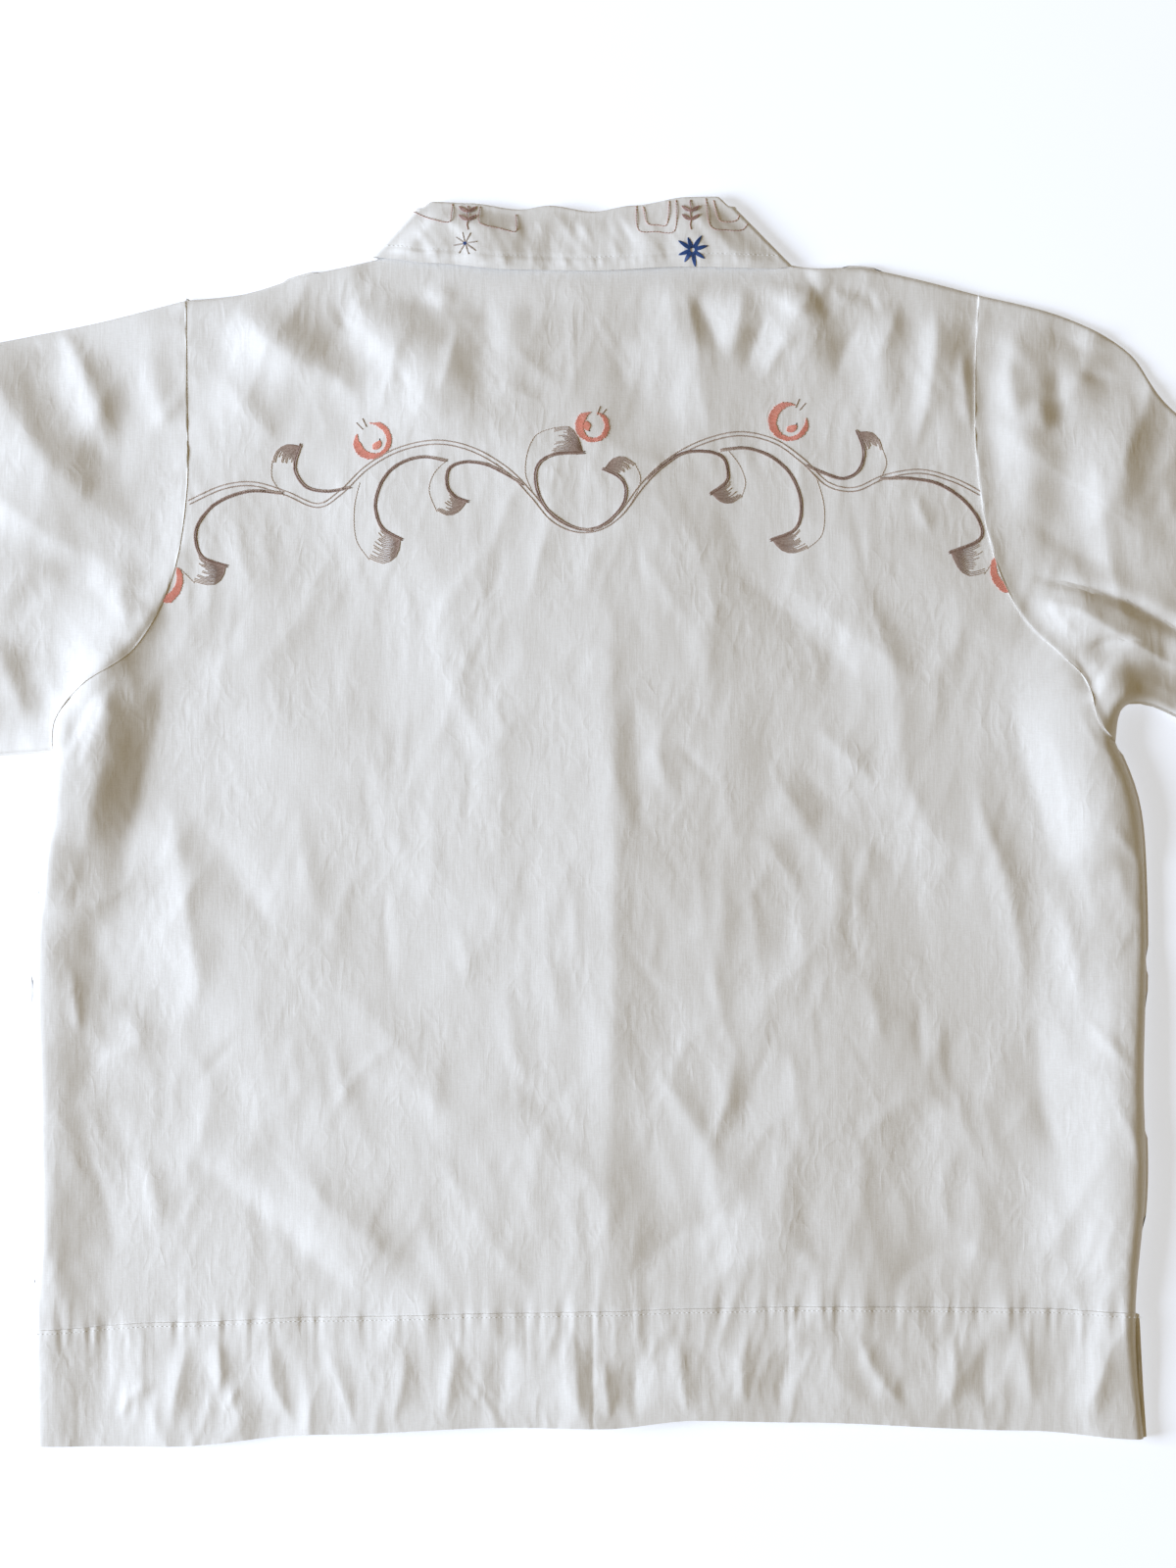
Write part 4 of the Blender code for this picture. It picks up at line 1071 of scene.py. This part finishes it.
def fruit_threads(fruit, chance):
    """Satin stitches across a ring, wide on its heavy side, with a swirl of them inside."""
    found = []

    def spoke(angle, inside, outside, shade):
        radii = np.linspace(inside, outside, 4) * 0.001
        plan = np.array([fruit.x, fruit.y]) * 0.001 + radii[:, None] * heading(angle)
        found.append((plan, shade + chance.uniform(-0.2, 0.2)))

    sweep = math.radians(fruit.sweep)
    count = round(fruit.radius * sweep / 0.5)
    for k in range(count):
        share = (k + 0.5) / count
        angle = math.radians(fruit.start) + sweep * share
        turned = angle - math.radians(fruit.heavy)
        wide = 2.7 + 0.9 * math.cos(turned) + 0.6 * math.cos(2 * turned)
        wide *= min(1.0, 8 * share, 8 * (1 - share))
        ragged = chance.uniform(-0.3, 0.3, 2)
        inside = fruit.radius - wide / 2 + ragged[0]
        spoke(angle, inside, fruit.radius + 0.4 + wide / 2 + ragged[1], 0.5)
    if fruit.swirl is not None:
        for k in range(20):
            share = (k + 0.5) / 20
            angle = math.radians(fruit.swirl) + 1.7 * (share - 0.5)
            wide = 3.9 * math.sin(math.pi * min(1, 0.15 + share)) ** 0.7
            middle = 0.45 * fruit.radius
            spoke(angle, middle - wide / 2, middle + wide / 2, 0.45)
    return found


threads = [thread for fruit in FRUITS for thread in fruit_threads(fruit, chance)]
fruit_rings = threaded("embroidery_fruit", upper_height, 0.00016, threads, CORAL)
threads = []
for fruit, lean in zip(FRUITS[:3], (125, 62, 58)):
    for side in (-9, 9):
        ends = np.linspace(fruit.radius - 1.0, fruit.radius + 4.2, 5)[:, None]
        plan = np.array([fruit.x, fruit.y]) + ends * heading(math.radians(lean + side))
        threads.append((0.001 * plan, 0.45))
stalks = threaded("embroidery_fruit_stalks", upper_height, 0.00015, threads, BROWN)
declare_back([vine_lines, outlines, stems, leaves, fruit_rings, stalks])

# ---- Fronts -------------------------------------------------------------------------
# Two fronts of the same cloth under the back, seamed to it at the sides and shoulders. They
# lie face down on the table and lap over the buttons at the centre, right over left.

NECK_FRONT_Y = 0.2275  # the neckline's lowest point
OUTER_LAP_LIFT = 0.0027  # over the buttons
INNER_LAP_LIFT = 0.0042  # over the buttons and the outer lap
Dip = namedtuple("Dip", "x share")
NECK_FRONT = [
    Dip(0.104, 0.0), Dip(0.0985, 0.4), Dip(0.08, 0.707), Dip(0.05, 0.907), Dip(0.017, 0.993),
    Dip(-LAP, 1.0),
]


def front_neck(laid, mirror):
    """The front neckline from the neck's side to the lap. mirror is 1 for the wearer's left."""
    top_y = laid.shoulder[-1].y
    drop = NECK_FRONT_Y - top_y
    return path([At(-mirror * row.x, top_y + drop * row.share) for row in NECK_FRONT])


across, columns = spaced(0.320, 0.004)
up, rows = spaced(0.590, 0.004)
for name, laid, mirror, lap in (
    ("front_left", LEFT, 1, INNER_LAP_LIFT),
    ("front_right", RIGHT, -1, OUTER_LAP_LIFT),
):
    neck = front_neck(laid, mirror)
    lap_x = mirror * LAP
    edge = path([At(lap_x, float(hem_seam(lap_x)) + SEAM / 2), At(lap_x, float(neck(1.0)[1]))])
    top = joined(path(laid.shoulder), neck, 0.5)
    outside = panel_edge(laid)
    bottom = seam_path(outside(np.zeros(()))[0], lap_x)
    plan = plan_between(bottom, top, outside, edge, across, up)
    outer, inner = wall_points(plan, -1, lap, split=SEAM)
    piece = shell(name + "_cloth", outer, inner, rows, columns)
    dressed(piece, name)()

# ---- Sleeves ------------------------------------------------------------------------
# One-piece sleeves set into the armholes, seamed under the arm and ending in a plain hem.
# The seam allowance is pressed into the sleeve, so its edge stands proud of the body.

SEAM_OVERLAP = 0.0002
SEAM_STAND_REACH = 0.007  # how far from the armhole the seam allowance lifts the sleeve


def shifted(along, by, step=0.002):
    """A path moved sideways, to the right of its own direction."""

    def point(t):
        t = np.asarray(t, float)
        ahead = along(np.minimum(1, t + step)) - along(np.maximum(0, t - step))
        ahead = ahead / np.hypot(ahead[..., 0], ahead[..., 1])[..., None]
        return along(t) + by * np.stack([ahead[..., 1], -ahead[..., 0]], -1)

    return point


declare_sleeves = []
for name, laid, outwards, length, area, seam_stand in (
    ("sleeve_left", LEFT, -1, 0.530, 0.195, 0.0004),
    ("sleeve_right", RIGHT, 1, 0.560, 0.175, 0.0009),
):
    armhole = shifted(path(laid.armhole), -outwards * SEAM_OVERLAP)
    underarm, over = path(laid.underarm), path(laid.sleeve_top)
    cuff_low, cuff_high = underarm(1.0), over(1.0)
    across, columns = spaced(0.275, 0.0025)
    along, rows = spaced(length, 0.0028)

    def cuff(t):
        return cuff_low + (cuff_high - cuff_low) * np.asarray(t)[..., None]

    def from_armhole(line, start):
        return lambda t: line(t) + (start - line(0.0)) * (1 - np.asarray(t)[..., None])

    edges = from_armhole(underarm, armhole(0.0)), from_armhole(over, armhole(1.0))
    plan = plan_between(armhole, cuff, *edges, across, along)
    stand = seam_stand * np.exp(-((along * length / SEAM_STAND_REACH) ** 2))
    stand = stand[:, None] + np.zeros(len(across))
    outer, inner = wall_points(plan, 1, lift=stand)
    low_outer, low_inner = wall_points(plan[:, 1:-1], -1)
    outer = np.concatenate([outer, low_outer[:, ::-1]], axis=1)
    inner = np.concatenate([inner, low_inner[:, ::-1]], axis=1)
    columns = np.concatenate([columns, 2 * (len(across) - 1) - columns[1:-1][::-1]])
    piece = shell(name + "_cloth", outer, inner, rows, columns, wrap=True)
    declare_sleeves.append(dressed(piece, name))

# ---- Hem band -----------------------------------------------------------------------
# A doubled strip round the hem in two halves, seamed at the centre of the back and sewn to
# the body, which it gathers a little. Its ends lap in front and carry the last button.

BAND_CLOTH = 0.0018  # both layers
BAND_RISE = 0.0013  # its back over the body's
BAND_INNER_LIFT = 0.0048  # over its button and the outer lap
BAND_SEAM_LAP = 0.0004  # how far the band laps over the hem seam

declare_bands = []
for name, laid, mirror, lap in (
    ("hem_band_left", LEFT, 1, BAND_INNER_LIFT),
    ("hem_band_right", RIGHT, -1, OUTER_LAP_LIFT),
):
    low, high = path(laid.side)(0.0), side_above_hem(laid)(0.0)
    behind, back_columns = spaced(0.312, 0.00125)
    before, front_columns = spaced(0.326, 0.004)
    up, rows = spaced(0.066, 0.002)

    def plan_of(shares, inner_x):
        """Plan points from the side fold to inner_x, from the band's edge up to its seam."""
        fold = low + (high - low) * up[:, None]
        x = fold[:, :1] + (inner_x - fold[:, :1]) * shares
        edge, seam = hem_edge(x), hem_seam(x) + BAND_SEAM_LAP
        return np.stack([x, edge + (seam - edge) * up[:, None]], -1)

    build = lap, BAND_CLOTH, BAND_RISE
    outer, inner = wall_points(plan_of(behind, BAND_SEAM_X), 1, *build)
    low_outer, low_inner = wall_points(plan_of(before, mirror * LAP), -1, *build)
    outer = np.concatenate([outer[:, ::-1], low_outer[:, 1:]], axis=1)
    inner = np.concatenate([inner[:, ::-1], low_inner[:, 1:]], axis=1)
    last = len(behind) - 1
    columns = np.concatenate([last - back_columns[::-1], last + front_columns[1:]])
    piece = shell(name + "_cloth", outer, inner, rows, columns)
    declare_bands.append(dressed(piece, name))

# ---- Collar -------------------------------------------------------------------------
# A one-piece collar: its stand rises from the neckline, folds at the top edge and falls over
# the back. It is doubled, with its edge seam rolled under and a row of stitching inside it.

COLLAR_CENTRE = 0.5 * (NECK_LIFT + NECK_TOP)  # height of the turn at the neck's sides
STAND_RHO, FALL_RHO = 0.0009, 0.0027  # how far the stand and the fall lie from that turn
STAND_SIDE = 0.0015  # the stand's set-in at the neck's sides
COLLAR_END = 0.74  # share of the front neckline that the collar covers
COLLAR_FOLD_LEFT = [
    At(-0.094, 0.3225), At(-0.09, 0.303), At(-0.074, 0.278), At(-0.046, 0.261),
    At(-0.019, 0.2545),
]
COLLAR_FOLD_RIGHT = [
    At(0.08, 0.3235), At(0.081, 0.303), At(0.07, 0.278), At(0.045, 0.261),
    At(0.019, 0.2545),
]
COLLAR_EDGE_LEFT = [
    At(-0.1175, 0.295), At(-0.1165, 0.276), At(-0.102, 0.242), At(-0.076, 0.213),
    At(-0.042, 0.195),
]
COLLAR_EDGE_RIGHT = [
    At(0.112, 0.2895), At(0.112, 0.27), At(0.1, 0.24), At(0.076, 0.213),
    At(0.042, 0.195),
]
COLLAR_FOLD = [
    At(-0.094, 0.3225), At(-0.087, 0.3262), At(-0.067, 0.3253), At(-0.0377, 0.3218),
    At(-0.022, 0.324), At(0.003, 0.3206), At(0.025, 0.324), At(0.0565, 0.3288),
    At(0.072, 0.329), At(0.08, 0.3235),
]
COLLAR_EDGE = [
    At(-0.1175, 0.295), At(-0.112, 0.294), At(-0.088, 0.2915), At(-0.044, 0.288),
    At(0.0, 0.2873), At(0.055, 0.2895), At(0.105, 0.2885), At(0.112, 0.2895),
]
COLLAR_TOPSTITCH = 0.0075  # from the collar's lower edge


def table_back(points):
    """A path along a table's rows, from left to right, even in x."""
    line = along_table(points, "y")
    x0, x1 = points[0].x, points[-1].x

    def point(t):
        x = x0 + (x1 - x0) * np.asarray(t, float)
        return np.stack([x, line(x)], -1)

    return point


def seam_front(laid, mirror):
    """The collar's seam to one front, half a seam from the neckline."""
    inside = shifted(front_neck(laid, mirror), -mirror * SEAM)
    side = np.array([-mirror * (NECK_FRONT[0].x - STAND_SIDE), laid.shoulder[-1].y + SEAM])

    def point(t):
        t = np.asarray(t, float)
        blend = smooth(t / 0.04)[..., None]
        return side * (1 - blend) + inside(t * COLLAR_END) * blend

    return point


def seam_back(t):
    """The collar's seam to the back, from left to right."""
    half = NECK_FRONT[0].x - STAND_SIDE
    x = half * (2 * np.asarray(t, float) - 1)
    share = (x + NECK_FRONT[0].x) / (2 * NECK_FRONT[0].x)
    return np.stack([x, path(NECK_BACK)(share)[..., 1] + SEAM], -1)


Line = namedtuple("Line", "left back right")
COLLAR_LINES = [
    Line(seam_front(LEFT, 1), seam_back, seam_front(RIGHT, -1)),
    Line(path(COLLAR_FOLD_LEFT), table_back(COLLAR_FOLD), path(COLLAR_FOLD_RIGHT)),
    Line(path(COLLAR_EDGE_LEFT), table_back(COLLAR_EDGE), path(COLLAR_EDGE_RIGHT)),
]

FALL_FLAT = COLLAR_CENTRE + FALL_RHO + CLOTH / 2
fold_line, edge_line = along_table(COLLAR_FOLD, "y"), along_table(COLLAR_EDGE, "y")


def collar_waves(x, y):
    """How far the fall stands above its lowest lie: soft waves, and puckers at the stitching."""
    up_from_edge = y - edge_line(x)
    sway = x + 0.006 * noise(x / 0.04, y / 0.02, 40)
    value = noise(sway / 0.0105, y / 0.030, 42)
    broad = noise(sway / 0.030, y / 0.034, 43)
    fine = noise((sway + 0.4 * y) / 0.0046, y / 0.013, 45)
    pucker = noise(x / 0.0026, 0.5 + 0 * x, 44)
    pucker = pucker * np.exp(-np.abs(up_from_edge - 0.0045) / 0.0035)
    groove = np.exp(-(((up_from_edge - COLLAR_TOPSTITCH) / 0.0010) ** 2))
    # The under collar shows below the edge on the left.
    rolled = 0.0034 * smooth((-0.030 - x) / 0.05)
    step = smooth((up_from_edge - rolled) / 0.0007) * smooth((-0.030 - x) / 0.02)
    relief = 0.0010 * value + 0.0018 * broad + 0.00040 * fine + 0.00055 * pucker
    return 0.0018 + relief - 0.0006 * groove + 0.0015 * step


def fall_height(x, y):
    """Outer face of the collar's fall across the back, fullest in the middle of its width."""
    left, right = COLLAR_FOLD[0], COLLAR_FOLD[-1]
    left_end, right_end = left.x - 0.9 * (left.y - y), right.x + (right.y - y)
    full = smooth((fold_line(x) - y) / 0.013) * smooth((x - left_end) / 0.016)
    full = full * smooth((right_end - x) / 0.026)
    full = full * (0.45 + 0.55 * smooth((y - edge_line(x)) / 0.007))
    return FALL_FLAT + full * (0.0010 + collar_waves(x, y))


def collar_grid():
    """Outer and inner points of the folded collar, a row for each station round the neck."""
    shares = np.linspace(0, 1, 33)
    turns = np.linspace(0, math.pi, 9)[1:-1]
    back_shares = np.linspace(0, 1, 181)
    stations = [("left", s, 0.0) for s in shares[:0:-1]]
    stations += [("left", 0.0, a) for a in [0.0, *turns]]
    stations += [("back", s, math.pi) for s in back_shares]
    stations += [("right", 0.0, a) for a in [*turns[::-1], 0.0]]
    stations += [("right", s, 0.0) for s in shares[1:]]
    fold_radius = 0.5 * (FALL_RHO - STAND_RHO)
    top = -(fold_radius + CLOTH / 2)
    profile = [(0, s, STAND_RHO, top * s, (-1, 0)) for s in (0.0, 0.25, 0.5, 0.75, 1.0)]
    for angle in (157, 135, 112, 90, 67, 45, 22):
        a = math.radians(angle)
        rho = 0.5 * (FALL_RHO + STAND_RHO) + fold_radius * math.cos(a)
        rise = top + fold_radius * math.sin(a)
        profile.append((0, 1.0, rho, rise, (math.cos(a), math.sin(a))))
    profile += [(1, s, FALL_RHO, top * (1 - s), (1, 0)) for s in np.linspace(0, 1, 31)]
    grids = [np.empty((len(stations), len(profile), 3)) for _ in (0, 1)]
    for i, (part, share, turn) in enumerate(stations):
        outwards = {"left": -math.sin(turn), "back": 0.0, "right": math.sin(turn)}[part]
        ends = [getattr(line, part)(share) for line in COLLAR_LINES]
        for j, (first, s, rho, rise, normal) in enumerate(profile):
            plan = ends[first] * (1 - s) + ends[first + 1] * s
            for k, side in enumerate((1, -1)):
                radius = rho + side * CLOTH / 2 * normal[0]
                point = [
                    plan[0] + outwards * radius,
                    plan[1] + rise + side * CLOTH / 2 * normal[1],
                    COLLAR_CENTRE - radius * math.cos(turn),
                ]
                if part == "back" and first == 1:
                    point[2] += float(fall_height(plan[0], plan[1])) - FALL_FLAT
                grids[k][i, j] = point
    return grids


outer, inner = collar_grid()
last = outer.shape[0] - 1
every_third = np.unique([*range(0, last, 3), last])
collar = shell("collar_cloth", outer, inner, every_third, np.arange(outer.shape[1]))
declare_collar = dressed(collar, "collar")

# ---- Collar embroidery and stitching -------------------------------------------------
# Small flowers, leafy stalks and outlined squares in the same cotton on the collar, and the
# white machine stitching that holds the collar's edge and the hem seam.

BLUE = stranded_cotton("blue_stranded_cotton", "#16346c", "#33609f")
PALE = stranded_cotton("pale_stranded_cotton", "#b4a79d", "#e6e0d8")
ROSE = stranded_cotton("rose_brown_stranded_cotton", "#8d6a60", "#d0a99c")
SEWING = stranded_cotton("white_sewing_thread", "#d9d8d4", "#f3f2ef")
Flower = namedtuple("Flower", "x y petals radius threads material shade")
FLOWERS = [
    Flower(-68.8, 302.0, 8, 6.8, 2, PALE, 0.1),
    Flower(58.3, 298.5, 8, 8.6, 7, BLUE, 0.3),
]
SQUARES = [
    [(-97, 320), (-88, 316), (-78, 314), (-76.3, 319), (-76, 324)],
    [(-60.5, 322.5), (-60.5, 313.5), (-50, 310.5), (-41, 308.6), (-40, 312), (-40.5, 318)],
    [(27, 323), (28.2, 309.8), (38, 308.7), (48.4, 309.4), (49.3, 326)],
    [(31, 322.5), (33, 313.6), (39, 312.4), (44, 313), (45.4, 325.5)],
    [(66, 327), (68.5, 311.8), (78, 309.7), (86, 310), (89, 313)],
    [(70.4, 326), (73, 316), (78, 314.5), (83, 315.5), (84.5, 318)],
]
STALKS = [(-67.4, 309.5, 323.5), (57.3, 309.8, 326.8)]  # x, foot and top

collar_work = []
for number, flower in enumerate(FLOWERS, start=1):
    threads = []
    middle = 0.001 * np.array([flower.x, flower.y])
    for petal in range(flower.petals):
        angle = 2 * math.pi * (petal + 0.3) / flower.petals + chance.uniform(-0.12, 0.12)
        way = heading(angle)
        aside = np.array([-way[1], way[0]])
        reach = flower.radius * chance.uniform(0.85, 1.12)
        for k in range(flower.threads):
            spread = (k + 0.5) / flower.threads - 0.5
            t = np.linspace(0.14, 1.0 - 0.5 * spread**2, 6)
            bulge = spread * (0.30 * flower.threads) * np.sin(math.pi * t**0.8) ** 0.8
            plan = middle + 0.001 * (reach * t[:, None] * way + bulge[:, None] * aside)
            threads.append((plan, flower.shade + chance.uniform(-0.2, 0.25)))
    name = f"collar_flower_{number}"
    collar_work.append(threaded(name, fall_height, 0.00018, threads, flower.material))
turns = np.linspace(0, 2 * math.pi, 40)
middle = FLOWERS[0]
knot = [
    (0.001 * np.column_stack([middle.x + r * np.cos(turns), middle.y + r * np.sin(turns)]), shade)
    for r, shade in ((0.3, 0.1), (0.8, 0.2))
]
collar_work.append(threaded("collar_flower_knot", fall_height, 0.0003, knot, BLUE))
runs = [drawn(square, 0.0007) for square in SQUARES]
shades = [0.55, 0.5, 0.6, 0.85, 0.6, 0.85]
square_stitch = Stitch(0.0017, 0.0019, 0.0006, 0.1)
collar_work.append(
    stitched("collar_squares", fall_height, 0.00012, runs, shades, square_stitch, 5, ROSE)
)
threads = []
for x, low_y, high_y in STALKS:
    ys = np.linspace(low_y, high_y, 14)
    threads.append((0.001 * np.column_stack([x + 0.3 * np.sin(ys), ys]), 0.35))
    for y in (low_y + 5.5, low_y + 10.5):
        for side in (-1, 1):
            for k in range(3):
                t = np.linspace(0, 1, 6)
                bulge = (k - 1) * 0.55 * np.sin(math.pi * t)
                leaf = [x + side * (4.8 * t + bulge), y + 3.2 * t**1.3 - bulge]
                threads.append((0.001 * np.column_stack(leaf), 0.35))
collar_work.append(threaded("collar_stalks", fall_height, 0.00015, threads, ROSE))

x = np.linspace(-0.112, 0.106, 260)
line = np.column_stack([x, edge_line(x) + COLLAR_TOPSTITCH])
machine_stitch = Stitch(0.0026, 0.0019, 0.00045, 0.0)
collar_work.append(
    stitched("collar_topstitching", fall_height, 0.00005, [line], [0.5], machine_stitch, 8, SEWING)
)
declare_collar(collar_work)

HEM_STITCH_DROP = 0.0016  # from the hem seam down to the row of stitches
machine_stitch = Stitch(0.0027, 0.0019, 0.00045, 0.0)
for x0, x1, name, declare in (
    (-0.308, 0.0015, "hem_stitching_left", declare_bands[0]),
    (0.0045, 0.308, "hem_stitching_right", declare_bands[1]),
):
    x = np.linspace(x0, x1, 400)
    run = np.column_stack([x, hem_seam(x) - HEM_STITCH_DROP])
    lift = BAND_RISE + 0.00003
    declare([stitched(name, upper_height, lift, [run], [0.5], machine_stitch, 9, SEWING)])
for declare in declare_sleeves:
    declare()

# ---- Buttons ------------------------------------------------------------------------
# Shell-coloured plastic buttons, turned and polished, sewn to the right front and its band.

SHELL, tree, shader = new_finish("polished_shell_coloured_plastic", {"Roughness": 0.22})
swirled = {"Vector": add(tree, "ShaderNodeTexCoord", out="Object"), "Scale": 160.0}
swirled = add(tree, "ShaderNodeTexNoise", {**swirled, "Distortion": 1.5})
colour = {0: swirled, MIX_FROM: linear("#cfc9ba"), MIX_TO: linear("#e6e2d8")}
colour = add(tree, "ShaderNodeMix", colour, MIXED, data_type="RGBA")
tree.links.new(colour, shader.inputs["Base Color"])
for number in range(1, 7):
    bpy.data.objects[f"button_{number}"].material_slots[0].material = SHELL

# ---- Table, light and camera --------------------------------------------------------
# A backlit white table, one wide soft light low on the left and a camera straight above.

TABLE_REACH, TABLE_DROP = 15.0, 0.0004
corners = [(-1, -1), (1, -1), (1, 1), (-1, 1)]
corners = [(i * TABLE_REACH, j * TABLE_REACH, -TABLE_DROP) for i, j in corners]
table_mesh = bpy.data.meshes.new("table_top")
table_mesh.from_pydata(corners, [], [(0, 1, 2, 3)])
placed("table_top", table_mesh)
backlit = {"Emission Color": (0.82, 0.885, 1.0, 1), "Emission Strength": 0.565}
backlit |= {"Base Color": (0.68, 0.68, 0.70, 1), "Roughness": 0.9, "Specular IOR Level": 0.0}
table_mesh.materials.append(new_finish("backlit_white_acrylic", backlit)[0])

KEY_ELEVATION = math.radians(28)
KEY_AWAY, KEY_SIZE, KEY_POWER = 3.6, 1.8, 236
centre = Vector(PLACE)
key_data = bpy.data.lights.new("soft_key", "AREA")
key_data.shape = "RECTANGLE"
key_data.size, key_data.size_y = KEY_SIZE, KEY_SIZE
key_data.energy = KEY_POWER
key_data.color = (0.69, 0.805, 1.0)
key = placed("soft_key", key_data)
towards = Vector((-math.cos(KEY_ELEVATION), -0.08, math.sin(KEY_ELEVATION)))
key.location = centre + KEY_AWAY * towards
key.rotation_mode = "QUATERNION"
key.rotation_quaternion = (centre - key.location).to_track_quat("-Z", "Y")

world = bpy.data.worlds.new("room")
world.use_nodes = True
room = world.node_tree.nodes["Background"].inputs
room["Color"].default_value = (1.0, 0.765, 0.37, 1)
room["Strength"].default_value = 0.27
bpy.context.scene.world = world
bpy.context.scene.view_settings.view_transform = "Standard"

VIEW_HEIGHT, CAMERA_HEIGHT = 0.880, 2.5
SENSOR = 36  # mm
camera_data = bpy.data.cameras.new("camera")
camera_data.sensor_width = SENSOR
camera_data.lens = SENSOR * CAMERA_HEIGHT / VIEW_HEIGHT
camera = placed("camera", camera_data)
camera.location = centre + Vector((0, 0, CAMERA_HEIGHT))
bpy.context.scene.camera = camera
